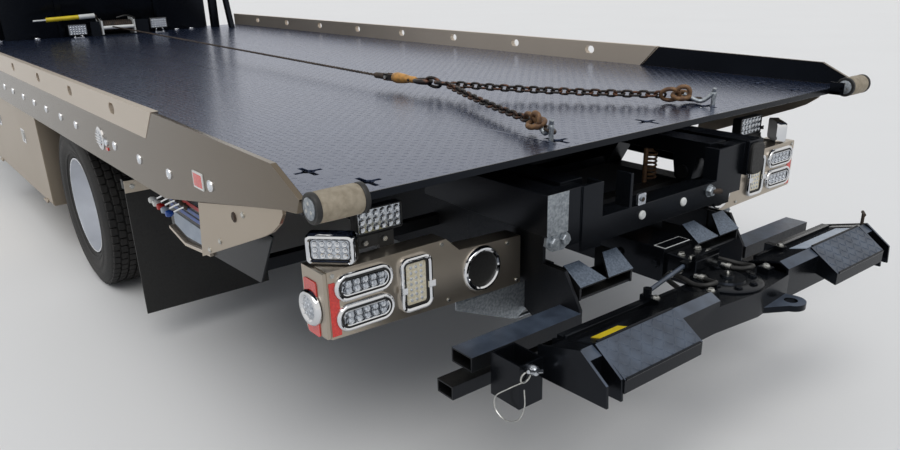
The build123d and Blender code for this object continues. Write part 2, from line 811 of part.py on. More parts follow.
def chainLeg(start, end):
    wire = 10
    inside = 46
    width = 36
    pitch = inside - 1.5
    run = hypot(end[0] - start[0], end[1] - start[1])
    heading = degrees(atan2(end[1] - start[1], end[0] - start[0]))
    links = []
    for index in range(int(run / pitch)):
        roll = 45 if index % 2 else -45
        place = Pos(start[0], start[1], deckTop + 17) * Rot(0, 0, heading) * Pos((index + 0.5) * pitch, 0, 0)
        links.append(place * Rot(roll, 0, 0) * chainLink(wire, inside, width))
    return links


def towHook():
    shank = block(0, 150, -11, 11, 0, 12)
    bar = block(-14, 8, -45, 45, 0, 12)
    claw = planPlate([(150, -20), (190, -60), (240, -60), (262, -30), (262, 20), (236, 30), (236, -22), (205, -30),
                      (182, 12), (150, 20)], 0, 12)
    return shank + bar + claw


def rigging():
    ring = Pos(1088, 60, deckTop + 8) * (Cylinder(48, 14) - Cylinder(34, 20))
    hook = planPlate([
        (1130, 48), (1230, 34), (1330, 30), (1440, 40), (1500, 40), (1500, 68), (1440, 70), (1330, 84),
        (1230, 82), (1130, 66),
    ], deckTop, deckTop + 26)
    pull = Vector(4385, -20, 70)
    circle = Edge.make_circle(6, Plane(origin=(1490, 54, deckTop + 14), z_dir=pull))
    cable = Solid.extrude(Face(Wire(circle)), pull)
    legs = chainLeg((1040, 80), (215, 330)) + chainLeg((1040, 40), (235, -410))
    hooks = [Pos(120, 345, deckTop) * Rot(0, 0, 200) * Pos(-260, 0, 0) * towHook(),
             Pos(140, -425, deckTop) * Rot(0, 0, 160) * Pos(-260, 0, 0) * towHook()]
    return [ring, hook, cable, *legs, *hooks]


def deckLamps():
    lamps = []
    for x in (531, 885, 1186, 1480, 2050, 2320, 2610, 2880, 3145, 3430, 3680):
        lamps += both(barY(x, 935, deckHalfWidth, deckHalfWidth + 7, 16))
    lamps += both(barY(1670, 930, deckHalfWidth, deckHalfWidth + 12, 45))
    # work lights on brackets beside the winch, and the beacon bar on top of the headboard
    for y, z in ((324, 1041), (-377, 1058)):
        light = block(boardX - 170, boardX - 130, y - 76, y + 76, z, z + 89)
        lamps.append(light + block(boardX - 155, boardX - 145, y - 40, y + 40, deckTop, z))
    beacon = roundedLamp(-620, 620, 1760, 1850, 20, boardX - 150, boardX + 90)
    lamps.append(beacon)
    return lamps


def buildDeck():
    write("deck_floor", deckFloor())
    write("deck_frame", *deckFrame())
    write("side_rails", *both(bandPlate()), *both(skirtPlate()), *both(topRail()))
    write("corner_rollers", *both(cornerRoller()))
    write("headboard", headboard())
    write("winch", winch())
    write("winch_rigging", *rigging())
    write("deck_lamps", *deckLamps())


# lamps and boxes at the tail

def lampPanel():
    edge = [
        (panelInner, panelUnder - 24), (panelOuter, panelUnder), (panelOuter, panelTop), (763, panelTop),
        (714, 739), (panelInner, 727),
    ]
    tray = rearPlate(edge, panelRear, panelRear + 70)
    tray -= extrude(facingForward(panelRear + 3) * inset(edge, 3), amount=100)
    box = block(panelRear + 3, panelRear + 120, panelOuter - 45, panelOuter + 12, panelUnder + 3, panelTop - 3)
    bracket = rearPlate([(728, 575), (728, 540), (500, 442), (470, 442), (panelInner, 500), (panelInner, 575)],
                        panelRear + 3, panelRear + 9)
    return tray + box + bracket


def facingForward(x):
    # a plane across the truck, its own axes running along Y and Z
    return Plane(origin=(x, 0, 0), x_dir=(0, 1, 0), z_dir=(1, 0, 0))


def roundedLamp(y0, y1, z0, z1, radius, x0, x1):
    shape = Pos((y0 + y1) / 2, (z0 + z1) / 2) * RectangleRounded(y1 - y0, z1 - z0, radius)
    return extrude(facingForward(x0) * shape, amount=x1 - x0)


def tailLamps():
    face = panelRear
    low = panelUnder
    outer = panelOuter
    lamps = []
    for z in (low + 55, low + 145):
        lamps.append(roundedLamp(outer - 205, outer - 15, z - 41, z + 41, 40, face - 18, face))
    lamps.append(roundedLamp(outer - 342, outer - 227, low + 9, low + 179, 28, face - 18, face))
    ringY, ringZ = panelInner + 165, low + 71
    ring = barX(ringY, ringZ, face - 14, face, 72) - barX(ringY, ringZ, face - 20, face - 4, 54)
    side = barY(face + 75, low + 79, outer + 12, outer + 30, 54)
    strobe = Pos(face + 56, outer - 53, panelTop) * Rot(0, 0, -45) * block(-28, 22, -70, 70, 0, 88)
    work = block(face + 75, face + 125, outer - 303, outer - 147, panelTop + 45, panelTop + 123)
    work += block(face + 70 + seatGap, face + 85, outer - 265, outer - 215, panelTop - 85, panelTop + 65)
    return [*lamps, ring, side, strobe, work]


def controlPanel():
    plate = sidePlate([(400, 820), (1300, 830), (1300, 640), (1150, 610), (520, 640)], controlY, controlY + 6)
    levers = [barY(820 + index * 70, 760, controlY + 6, controlY + 50, 14) for index in range(5)]
    return [plate, *levers]


def toolbox():
    shell = block(boxRear, boxFront, boxInner, boxOuter, boxUnder, boxTop)
    shell -= block(boxRear + 3, boxFront - 3, boxInner + 3, boxOuter + 50, boxUnder + 3, boxTop - 3)
    for x in (boxRear + 120, boxFront - 180):
        shell += barX(lidHingeY, lidHingeZ, x + 50, x + 90, 6)
        shell += block(x + 50, x + 90, boxOuter - 8, lidHingeY, lidHingeZ - 6, lidHingeZ)
    return shell


def toolboxDoor():
    lid = block(boxRear + 10, boxFront - 10, boxOuter - 10, boxOuter + 4, boxUnder + 8, boxTop - 8)
    for x in (boxRear + 120, boxFront - 180):
        lid += barX(lidHingeY, lidHingeZ, x, x + 50 - seatGap, 6)
        lid += block(x, x + 50 - seatGap, boxOuter + 2, lidHingeY, lidHingeZ, lidHingeZ + 15)
    return lid


def mudflap():
    return block(1682, 1690 - seatGap, 660, 1240, 140, 735)


# wheel lift

def boomOuter():
    tube = block(liftPivotX - 1090, liftPivotX + 60, -75, 75, 540, 655)
    tube -= block(liftPivotX - 1100, liftPivotX - 60, -62.5, 62.5, 552.5, 642.5)
    lug = block(liftPivotX - 60, liftPivotX + 50, -110, 110, 560, 640)
    return tube + lug - barY(liftPivotX, liftPivotZ, -200, 200, 24 + runningFit)


def boomInner():
    tube = block(-255, liftPivotX - 80, -62, 62, 553, 642)
    head = block(-400, -245, -90, 90, barUnder + barWall + seatGap, hubTop - barWall - seatGap)
    return tube + head


def crossbarHub():
    reach = hubHalf + barWall
    inner = barRear + barWall
    mouth = barFront + 20
    outside = [(barRear - 19, 0), (barRear, reach), (barFront, reach), (barFront, -reach), (barRear, -reach)]
    inside = [(barRear - 10, 0), (inner, hubHalf), (mouth, hubHalf), (mouth, -hubHalf), (inner, -hubHalf)]
    shell = planPlate(outside, barUnder, hubTop) - planPlate(inside, barUnder + barWall, hubTop - barWall)
    tabX = tabTip + tabRadius
    tab = planPlate([
        (barRear, -10), (tabX - 20, tabY + 41), (tabX - 20, tabY - 41), (barRear, -hubHalf), (inner, -hubHalf),
        (inner, -10),
    ], barUnder, barUnder + 20)
    tab += barZ(tabX, tabY, barUnder, barUnder + 20, tabRadius)
    return shell + tab - barZ(tabX, tabY, barUnder - 5, barUnder + 25, tabHole)


def crossbarArm():
    # a box beam with a cheek either side of its socket and a folded cover behind
    section = [
        (barRear, barUnder), (barRear, 604), (-396, 622), (-290, 592), (barFront, 560), (barFront, barUnder),
    ]
    cover = [(-398, 619), (-402, 627), (-502, 561), (-502, 520), (-496, 520), (-496, 558)]
    length = barHalfWidth - barWall - hubHalf
    beam = extrude(Plane.XZ * (outline(section) - inset(section, barWall)), amount=length)
    arm = Pos(0, barHalfWidth - barWall, 0) * beam
    for y in (barHalfWidth - barWall, barHalfWidth - 63):
        arm += sidePlate([(-500, 500), (-496, 562), (-406, 627), (-254, 585), (-256, 492)], y, y + barWall)
    arm += sidePlate(cover, 370, barHalfWidth - 63)
    arm += sidePlate([(barRear, 540), (barRear, 600), (-498, 560), (-498, 520)], 370, 376)
    return arm + sidePlate([(-300, 590), (-300, 606), (-288, 606), (-288, 588)], 215, barHalfWidth - 63)


def crossbar():
    bar = crossbarHub()
    for arm in both(crossbarArm()):
        bar += arm
    # a socket for an arm, on the left end alone
    return bar + hollowBarZ(-275, -160, barHalfWidth - 1, 842, 425, 556, 6)


def hollowBarZ(x0, x1, y0, y1, z0, z1, wall):
    return block(x0, x1, y0, y1, z0, z1) - block(x0 + wall, x1 - wall, y0 + wall, y1 - wall, z0 - 1, z1 + 1)


def buildLift():
    write("boom_outer", boomOuter())
    write("boom_inner", boomInner())
    write("crossbar", crossbar())


def main():
    os.makedirs("parts", exist_ok=True)
    buildWheels()
    write("chassis_frame", *chassisFrame())
    write("axles", *axles())
    write("knuckle_left", knuckle())
    write("knuckle_right", right(knuckle()))
    write("engine_driveline", driveline())
    buildCab()
    write("cab_interior", *cabInterior())
    buildFront()
    write("fuel_tanks", *both(fuelTank()))
    write("subframe", *subframe())
    write("tilt_barrels", *both(tiltBarrel()))
    write("tilt_rods", *both(tiltRod()))
    buildDeck()
    write("tail_lamp_panels", *both(lampPanel()))
    write("tail_lamps", *[each for lamp in tailLamps() for each in both(lamp)])
    write("control_panel", *controlPanel())
    write("side_toolboxes", *both(toolbox()))
    write("toolbox_door_left", toolboxDoor())
    write("toolbox_door_right", right(toolboxDoor()))
    write("mudflaps", *both(mudflap()))
    buildLift()


main()
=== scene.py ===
import json
from math import atan2, cos, degrees, hypot, pi, radians, sin, sqrt

import bmesh
import bpy
from mathutils import Matrix, Vector


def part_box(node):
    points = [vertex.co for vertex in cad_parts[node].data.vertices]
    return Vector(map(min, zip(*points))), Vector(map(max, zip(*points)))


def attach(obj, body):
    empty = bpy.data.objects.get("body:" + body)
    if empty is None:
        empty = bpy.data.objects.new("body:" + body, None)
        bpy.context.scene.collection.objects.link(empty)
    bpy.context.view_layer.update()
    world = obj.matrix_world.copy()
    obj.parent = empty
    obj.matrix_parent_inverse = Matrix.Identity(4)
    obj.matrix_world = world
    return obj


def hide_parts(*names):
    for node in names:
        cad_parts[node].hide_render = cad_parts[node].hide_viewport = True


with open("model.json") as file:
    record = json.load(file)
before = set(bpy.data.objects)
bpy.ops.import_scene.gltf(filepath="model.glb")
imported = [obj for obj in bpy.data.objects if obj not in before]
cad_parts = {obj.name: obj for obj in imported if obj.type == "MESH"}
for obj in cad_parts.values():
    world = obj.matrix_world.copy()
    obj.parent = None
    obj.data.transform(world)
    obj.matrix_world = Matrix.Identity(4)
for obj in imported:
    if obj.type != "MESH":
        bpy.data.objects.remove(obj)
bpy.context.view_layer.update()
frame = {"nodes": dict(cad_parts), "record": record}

# Sizes below are millimetres on the truck: x forward from the deck's tail edge, y to its left, z up.
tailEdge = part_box("deck_floor")[0].x
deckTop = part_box("deck_floor")[1].z * 1000
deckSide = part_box("side_rails")[1].y * 1000
mm = 0.001


def toFrame(point):
    return Vector((point[0] * mm + tailEdge, point[1] * mm, point[2] * mm))


# materials

def linear(hexColour):
    channels = [int(hexColour[i:i + 2], 16) / 255 for i in (0, 2, 4)]
    return [c / 12.92 if c <= 0.04045 else ((c + 0.055) / 1.055) ** 2.4 for c in channels] + [1.0]


def addNode(tree, kind, sockets=None, **settings):
    made = tree.nodes.new(kind)
    for name, value in settings.items():
        setattr(made, name, value)
    for key, value in (sockets or {}).items():
        if isinstance(value, bpy.types.NodeSocket):
            tree.links.new(value, made.inputs[key])
        else:
            made.inputs[key].default_value = value
    return made


def newSurface(name, sockets):
    # a cleared material with its shader, and the place on the object that its patterns read
    material = bpy.data.materials.new(name)
    material.use_nodes = True
    tree = material.node_tree
    tree.nodes.clear()
    shader = addNode(tree, "ShaderNodeBsdfPrincipled", sockets)
    addNode(tree, "ShaderNodeOutputMaterial", {"Surface": shader.outputs["BSDF"]})
    place = addNode(tree, "ShaderNodeTexCoord").outputs["Object"]
    return material, tree, shader, place


def finish(name, colour, shade, roughness, spread=0.08, metallic=0.0, patch=120, grain=2.0, relief=0.0,
           reliefSize=1.0, stretch=(1, 1, 1), coat=0.0, coatRoughness=0.03, contrast=(0.35, 0.65), ior=None,
           skySheenTint=None):
    # colour drifts to shade in patches, roughness varies by spread with the grain, relief is the bump; all of
    # these sizes are in mm, and real grain is finer than a pixel, so it is drawn a millimetre or more across
    # the tint colours the specular and coat reflections blue: a painted sky sheen
    sockets = {"Roughness": roughness, "Metallic": metallic, "Coat Weight": coat,
               "Coat Roughness": coatRoughness}
    if ior:
        sockets["IOR"] = ior
    if skySheenTint:
        sockets["Specular Tint"] = sockets["Coat Tint"] = linear(skySheenTint)
    material, tree, shader, place = newSurface(name, sockets)
    cloud = addNode(tree, "ShaderNodeTexNoise", {"Vector": place, "Scale": 1000 / patch, "Detail": 5.0})
    ramp = addNode(tree, "ShaderNodeMapRange",
                   {"Value": cloud.outputs["Fac"], "From Min": contrast[0], "From Max": contrast[1]})
    mix = addNode(tree, "ShaderNodeMix", {0: ramp.outputs["Result"], 6: linear(colour), 7: linear(shade)},
                  data_type="RGBA")
    tree.links.new(mix.outputs[2], shader.inputs["Base Color"])
    stretched = addNode(tree, "ShaderNodeMapping", {"Vector": place, "Scale": stretch}).outputs["Vector"]
    fine = addNode(tree, "ShaderNodeTexNoise", {"Vector": stretched, "Scale": 1000 / grain, "Detail": 3.0})
    rough = addNode(tree, "ShaderNodeMapRange",
                    {"Value": fine.outputs["Fac"], "From Min": 0.3, "From Max": 0.7,
                     "To Min": max(roughness - spread, 0.02), "To Max": roughness + spread})
    tree.links.new(rough.outputs["Result"], shader.inputs["Roughness"])
    if relief:
        skin = addNode(tree, "ShaderNodeTexNoise",
                       {"Vector": stretched, "Scale": 1000 / reliefSize, "Detail": 4.0})
        bump = addNode(tree, "ShaderNodeBump",
                       {"Height": skin.outputs["Fac"], "Distance": relief * mm, "Strength": 1.0})
        tree.links.new(bump.outputs["Normal"], shader.inputs["Normal"])
    return material


print("materials")
lengthwise = (0.03, 1, 1)
upright = (1, 1, 0.03)
# sprayed gloss enamel over steel: a slight orange peel that blurs the highlights, with dust in broad patches;
# its reflections are tinted blue, a painted sky sheen
blackEnamel = finish("black_enamel", "07080a", "0f1114", 0.22, 0.04, patch=400, grain=6, relief=0.06,
                     reliefSize=9, ior=1.3, skySheenTint="c4d0e8")
# the same enamel where stowed gear has rubbed it to grey spots
scuffedEnamel = finish("scuffed_enamel", "454f5b", "66717f", 0.4, 0.1, 0.2, patch=7, grain=3)
# the black enamel where its faces look up, painted blue-grey: a painted sky sheen over the black
skySheenEnamel = finish("hazed_enamel", "343c48", "46505e", 0.36, 0.06, 0.1, patch=60, grain=4, relief=0.1,
                     reliefSize=8)
# frame paint brushed and rolled on thick, half matt, greyed by road film; its reflections are tinted blue,
# a painted sky sheen
chassisPaint = finish("chassis_paint", "0a0b0d", "1a1917", 0.4, 0.1, patch=260, grain=8, relief=0.15,
                      reliefSize=6, ior=1.35, skySheenTint="c4d0e8")
# the deck's floor plate: thick black enamel, worn smooth, so that it mirrors the sky at a low angle; the blue
# in its base colour and the blue tint on its reflections are a painted sky sheen
deckPlate = finish("enamelled_floor_plate", "131925", "1c2330", 0.27, 0.05, patch=500, grain=18, relief=0.08,
                   reliefSize=24, ior=1.85, coat=0.5, coatRoughness=0.2, skySheenTint="a9bbe2")
# rolled stainless sheet: a line grain along its length blurs what it mirrors into soft bands; its dark
# olive-brown colour is a painted reflection of brown ground
stainless = finish("satin_stainless", "6a6052", "71675a", 0.22, 0.02, 0.95, patch=1400, grain=1.2,
                   stretch=lengthwise)
# the same sheet with its grain running up and down, as the lamp panels are cut, painted much paler than the
# band: a lit copy of it
stainlessPanel = finish("satin_stainless_panel", "aca294", "b4aa9c", 0.3, 0.02, 0.9, patch=900, grain=1.0,
                        stretch=upright)
# sheet of the tail gussets and toolboxes, dull and with no grain to follow; its pale colour is painted light,
# a lit copy of the band's stainless
stainlessPaintedLit = finish("bead_blasted_stainless", "a69988", "aea292", 0.38, 0.03, 0.8, patch=800, grain=2)
# extruded aluminium rail in mill finish: pale, with faint draw lines along it
millAluminium = finish("mill_aluminium", "bfb3a3", "c7bbac", 0.34, 0.02, 0.7, patch=900, grain=1.5,
                       stretch=lengthwise)
# wheels and tanks, turned and buffed: bright with a soft edge to each highlight
polishedAluminium = finish("polished_aluminium", "e8eaee", "dcdee2", 0.2, 0.03, 0.6, patch=160, grain=12)
# plated pressings: a deep mirror with hardly any texture
chrome = finish("chrome_plate", "d9dadc", "d3d5d8", 0.06, 0.02, 1.0, patch=60, grain=2)
# hot dip zinc: grey spangle a few millimetres across
galvanised = finish("galvanised_steel", "7c8288", "a3a9ae", 0.45, 0.1, 0.85, patch=9, grain=5, relief=0.05,
                    reliefSize=5)
# electroplated fasteners: thin bright zinc that shows the turned steel under it
zincPlate = finish("zinc_plate", "a9aaa8", "c4c4bf", 0.28, 0.08, 1.0, patch=12, grain=2)
# sand castings and spring steel left bare: rough and gone brown
castIron = finish("cast_iron", "2c2826", "4a3d33", 0.62, 0.12, 0.5, patch=40, grain=4, relief=0.5,
                  reliefSize=5)
# moulded tyre rubber, matt and dusty in the grooves
tyreRubber = finish("tyre_rubber", "0d0d0e", "1d1b19", 0.68, 0.1, patch=140, grain=5, relief=0.15,
                    reliefSize=3)
# calendered sheet rubber: smoother than a tyre, with slow waves in its sheen
flapRubber = finish("flap_rubber", "0a0a0b", "141413", 0.55, 0.1, patch=200, grain=8, relief=0.1,
                    reliefSize=10)
# welded chain steel: dark mill scale with rust in spots
rustyChain = finish("rusted_chain_steel", "1f1c1b", "6b4229", 0.42, 0.12, 0.45, patch=26, grain=4,
                    relief=0.25, reliefSize=4, contrast=(0.5, 0.72))
# drop forgings left bare, rusted brown all over
rustyForging = finish("rusted_forging", "80603f", "553c2b", 0.6, 0.1, 0.3, patch=20, grain=3, relief=0.3,
                      reliefSize=4)
# forged swivel, orange lacquer rubbed off to brown
orangeForging = finish("orange_lacquered_forging", "c68f45", "8f6a3c", 0.4, 0.12, 0.2, patch=22, grain=3,
                       relief=0.2, reliefSize=4, contrast=(0.45, 0.7))
# cast urethane sleeve: tan, scuffed grey by tyres
urethane = finish("cast_urethane", "998e7b", "837865", 0.7, 0.1, patch=18, grain=2, relief=0.4, reliefSize=3)
# lamp housings moulded in black plastic with a fine spark texture that keeps them half matt
blackPlastic = finish("moulded_black_plastic", "0c0d0e", "141516", 0.45, 0.06, patch=80, grain=1.5,
                      relief=0.05, reliefSize=1.5)
# grained vinyl and moulded trim of the cab: grey and soft
cabVinyl = finish("grained_vinyl", "3a3b3e", "45464a", 0.6, 0.08, patch=60, grain=2, relief=0.12,
                  reliefSize=2)
# clear moulded polycarbonate, hard coated, over silvered reflectors that show through it
clearLens = finish("clear_lamp_lens", "dfe3e8", "c3c9d0", 0.08, 0.03, 0.35, patch=14, grain=3, coat=1.0)
# vacuum silvered cups behind a lens: bright with darker patches
ledSilver = finish("silvered_reflector", "c9cdd3", "8d939b", 0.16, 0.06, 0.9, patch=7, grain=2, coat=0.6)
# a populated diode board under a clear lens, cream where the phosphor shows
warmLed = finish("warm_led_board", "eae3d0", "d6c9a6", 0.3, 0.1, 0.1, patch=7, grain=2, coat=0.5)
# dyed acrylic with prisms moulded in its back, which sparkle in patches
redReflector = finish("red_acrylic", "c4180f", "e0301f", 0.14, 0.05, patch=6, grain=2, relief=0.12,
                      reliefSize=3, coat=0.7)
amberLens = finish("amber_acrylic", "d97a12", "c4620a", 0.16, 0.05, patch=8, grain=2, coat=0.7)
# printed vinyl labels left plain: flat even colour, half matt
yellowLabel = finish("plain_yellow_label", "d9bf1e", "c9ae18", 0.45, 0.06, patch=60, grain=3)
paleLabel = finish("plain_grey_label", "8f9aa8", "a3adb8", 0.4, 0.05, patch=60, grain=3)
# sprayed white enamel on small fittings, a little dirty
whiteEnamel = finish("white_enamel", "dcdcd8", "c9c9c4", 0.3, 0.06, patch=80, grain=3)
# injection moulded lever knobs: plain dyed plastic with a soft shine
redPlastic = finish("red_moulded_knob", "b3201a", "9c1914", 0.35, 0.05, patch=40, grain=2)
bluePlastic = finish("blue_moulded_knob", "1e4c9c", "1a4288", 0.35, 0.05, patch=40, grain=2)


def glassSheet():
    # laminated glass, lightly tinted and seen through; wiped film varies its gloss in patches of about 170 mm
    material, tree, shader, place = newSurface("tinted_glass", {"Roughness": 0.03, "IOR": 1.5})
    shader.inputs["Base Color"].default_value = linear("9aa7a5")
    shader.inputs["Transmission Weight"].default_value = 0.85
    cloud = addNode(tree, "ShaderNodeTexNoise", {"Vector": place, "Scale": 6.0})
    rough = addNode(tree, "ShaderNodeMapRange",
                    {"Value": cloud.outputs["Fac"], "To Min": 0.02, "To Max": 0.05})
    tree.links.new(rough.outputs["Result"], shader.inputs["Roughness"])
    return material


glass = glassSheet()


# shapes, drawn in millimetres and brought into the frame when a piece is finished

class Shape:
    def __init__(self):
        self.mesh = bmesh.new()
        self.slots = []

    def add(self, points, faces, material, place=None):
        if material not in self.slots:
            self.slots.append(material)
        corners = [self.mesh.verts.new(place @ Vector(p) if place else Vector(p)) for p in points]
        for face in faces:
            made = self.mesh.faces.new([corners[i] for i in face])
            made.material_index = self.slots.index(material)

    def prism(self, outline, low, high, axis, material, place=None):
        # an outline in the other two axes, in alphabetical order, carried along axis from low to high
        count = len(outline)
        faces = [list(range(count))[::-1], [count + i for i in range(count)]]
        faces += [[i, (i + 1) % count, count + (i + 1) % count, count + i] for i in range(count)]
        self.add(facing(outline, low, axis) + facing(outline, high, axis), faces, material, place)

    def block(self, x0, x1, y0, y1, z0, z1, material, place=None):
        self.prism([(y0, z0), (y1, z0), (y1, z1), (y0, z1)], x0, x1, "x", material, place)

    def lathe(self, profile, axis, centre, material, around=32, place=None):
        # (radius, along) points turned about an axis through centre; a closed profile makes a ring
        spot = {"x": lambda r, a, s: (a, r * cos(s), r * sin(s)),
                "y": lambda r, a, s: (r * sin(s), a, r * cos(s)),
                "z": lambda r, a, s: (r * cos(s), r * sin(s), a)}[axis]
        points = []
        for step in range(around):
            angle = 2 * pi * step / around
            points += [Vector(centre) + Vector(spot(r, a, angle)) for r, a in profile]
        count = len(profile)
        faces = []
        for step in range(around):
            here, there = step * count, (step + 1) % around * count
            faces += [[here + i, here + i + 1, there + i + 1, there + i] for i in range(count - 1)]
        self.add(points, faces, material, place)

    def tube(self, route, radius, material, around=10, closed=False):
        # a round bar swept along a route of points, its ends capped; radius may be one for each point
        route = [Vector(p) for p in route]
        count = len(route)
        sizes = radius if isinstance(radius, list) else [radius] * count
        points = []
        side = None
        for i, point in enumerate(route):
            before = route[i - 1] if i or closed else point
            after = route[(i + 1) % count] if i < count - 1 or closed else point
            along = (after - before).normalized()
            if side is None:
                side = along.orthogonal().normalized()
            side = (side - along * side.dot(along)).normalized()
            up = along.cross(side)
            points += [point + sizes[i] * (a * side + b * up) for a, b in polygon(1, around)]
        faces = []
        for i in range(count if closed else count - 1):
            a, b = i * around, (i + 1) % count * around
            faces += [[a + k, a + (k + 1) % around, b + (k + 1) % around, b + k] for k in range(around)]
        if not closed:
            faces += [list(range(around))[::-1], [(count - 1) * around + k for k in range(around)]]
        self.add(points, faces, material)

    def loft(self, rings, material, end=None):
        # skins successive rings of points; end is the material that closes the last one
        for low, high in zip(rings, rings[1:]):
            count = len(low)
            faces = [[i, (i + 1) % count, count + (i + 1) % count, count + i] for i in range(count)]
            self.add([*low, *high], faces, material)
        if end:
            self.cap(rings[-1], end)

    def cap(self, ring, material):
        self.add(ring, [list(range(len(ring)))], material)

    def flip(self):
        # turned over to the truck's right side
        for vert in self.mesh.verts:
            vert.co.y = -vert.co.y

    def mirror(self):
        # the same again on the truck's right side
        geometry = [*self.mesh.verts, *self.mesh.edges, *self.mesh.faces]
        copied = bmesh.ops.duplicate(self.mesh, geom=geometry)["geom"]
        for vert in copied:
            if isinstance(vert, bmesh.types.BMVert):
                vert.co.y = -vert.co.y
        bmesh.ops.reverse_faces(self.mesh, faces=[g for g in copied if isinstance(g, bmesh.types.BMFace)])


def facing(points, depth, axis="x"):
    # (first, second) points lifted to depth along an axis
    spot = {"x": lambda a, b: (depth, a, b),
            "y": lambda a, b: (a, depth, b),
            "z": lambda a, b: (a, b, depth)}[axis]
    return [spot(a, b) for a, b in points]


def polygon(radius, count, turn=0.0, centre=(0, 0)):
    angles = [2 * pi * k / count + turn for k in range(count)]
    return [(centre[0] + radius * cos(a), centre[1] + radius * sin(a)) for a in angles]


def rounded(cy, cz, width, height, radius, steps=5):
    # a rounded rectangle as (first, second) points, counterclockwise
    points = []
    for corner, (sy, sz) in enumerate(((1, 1), (-1, 1), (-1, -1), (1, -1))):
        for step in range(steps + 1):
            angle = pi / 2 * (corner + step / steps)
            points.append((cy + sy * (width / 2 - radius) + radius * cos(angle),
                           cz + sz * (height / 2 - radius) + radius * sin(angle)))
    return points


def bolts(shape, points, axis, across, height, material, washer=None, turn=0.2):
    # chamfered hexagon heads that rise along axis, which is one of x, -x, y, -y, z, -z; washer is a diameter
    letter = axis[-1]
    way = -1 if axis[0] == "-" else 1
    reach = across / 2 / cos(pi / 6)
    for point in points:
        start = point["xyz".index(letter)]
        centre = [value for value, name in zip(point, "xyz") if name != letter]
        rings = [facing(polygon(reach * scale, 6, turn, centre), start + way * lift * height, letter)
                 for scale, lift in ((1.0, 0.0), (1.0, 0.75), (0.86, 1.0))]
        shape.loft(rings, material, material)
        if washer:
            disc = polygon(washer / 2, 16, centre=centre)
            shape.loft([facing(disc, start + way * lift, letter) for lift in (0, 2)], material, material)


def curve(points, turns=6):
    # a smooth route through the points
    route = []
    points = [Vector(p) for p in points]
    for i in range(len(points) - 1):
        a, b = points[i], points[i + 1]
        before = points[i - 1] if i else a - (b - a)
        after = points[i + 2] if i + 2 < len(points) else b + (b - a)
        for step in range(turns):
            t = step / turns
            route.append(0.5 * (2 * a + (b - before) * t + (2 * before - 5 * a + 4 * b - after) * t * t
                                + (3 * a - before - 3 * b + after) * t ** 3))
    return route + [points[-1]]


def placed(point, heading=0.0, pitch=0.0, roll=0.0):
    turn = (Matrix.Rotation(radians(heading), 4, "Z") @ Matrix.Rotation(radians(pitch), 4, "Y")
            @ Matrix.Rotation(radians(roll), 4, "X"))
    return Matrix.Translation(point) @ turn


def ovalRing(shape, place, length, width, radius, material, around=10, steps=20):
    # a ring of round bar in the place's own xy plane
    route = [place @ Vector((length / 2 * a, width / 2 * b, 0)) for a, b in polygon(1, steps)]
    shape.tube(route, radius, material, around, closed=True)


# pieces

def placePiece(piece, body, bevel=0.0, stands=(), smooth=35):
    # edges stay sharp from the angle smooth, in degrees, and are broken by bevel, in mm
    if piece.name not in bpy.context.scene.collection.objects:
        bpy.context.scene.collection.objects.link(piece)
    if smooth:
        piece.data.shade_smooth()
        piece.data.set_sharp_from_angle(angle=radians(smooth))
    if bevel:
        edges = piece.modifiers.new("edges", "BEVEL")
        edges.width = bevel * mm
        edges.segments = 2
        edges.limit_method = "ANGLE"
        edges.angle_limit = radians(35)
        edges.harden_normals = False
    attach(piece, body)
    if stands:
        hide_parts(*stands)
    return piece


def closeShape(shape, name, toPlace, doubles):
    # the drawn shape as a mesh with its doubles merged, its faces turned outwards and its points placed
    bmesh.ops.remove_doubles(shape.mesh, verts=shape.mesh.verts, dist=doubles)
    bmesh.ops.recalc_face_normals(shape.mesh, faces=shape.mesh.faces)
    for vert in shape.mesh.verts:
        vert.co = toPlace(vert.co)
    mesh = bpy.data.meshes.new(name)
    shape.mesh.to_mesh(mesh)
    shape.mesh.free()
    return mesh


def makePiece(name, body, build, side="middle", smooth=40, **options):
    # build draws the middle or the left one; "both" adds its mirror image and "right" turns it over
    shape = Shape()
    build(shape)
    if side == "both":
        shape.mirror()
    if side == "right":
        shape.flip()
    mesh = closeShape(shape, name, toFrame, 0.01)
    for material in shape.slots:
        mesh.materials.append(material)
    return placePiece(bpy.data.objects.new(name, mesh), body, smooth=smooth, **options)


bodyOf = {node: body for body, nodes in frame["record"]["behaviour"]["bodies"].items() for node in nodes}


def dress(node, material, bevel):
    # a copy of a CAD node with its flats joined up and its edges broken, standing for the node
    mesh = bmesh.new()
    mesh.from_mesh(frame["nodes"][node].data)
    bmesh.ops.remove_doubles(mesh, verts=mesh.verts, dist=1e-5)
    bmesh.ops.dissolve_limit(mesh, angle_limit=radians(1.0), verts=mesh.verts, edges=mesh.edges)
    made = bpy.data.meshes.new(node + "_finished")
    mesh.to_mesh(made)
    mesh.free()
    made.materials.clear()
    made.materials.append(material)
    for face in made.polygons:
        face.material_index = 0
    return placePiece(bpy.data.objects.new(made.name, made), bodyOf[node], bevel, (node,), 30)


# repeats: one tree sets a stamp on every point of a guide mesh, turned as the point's attribute says

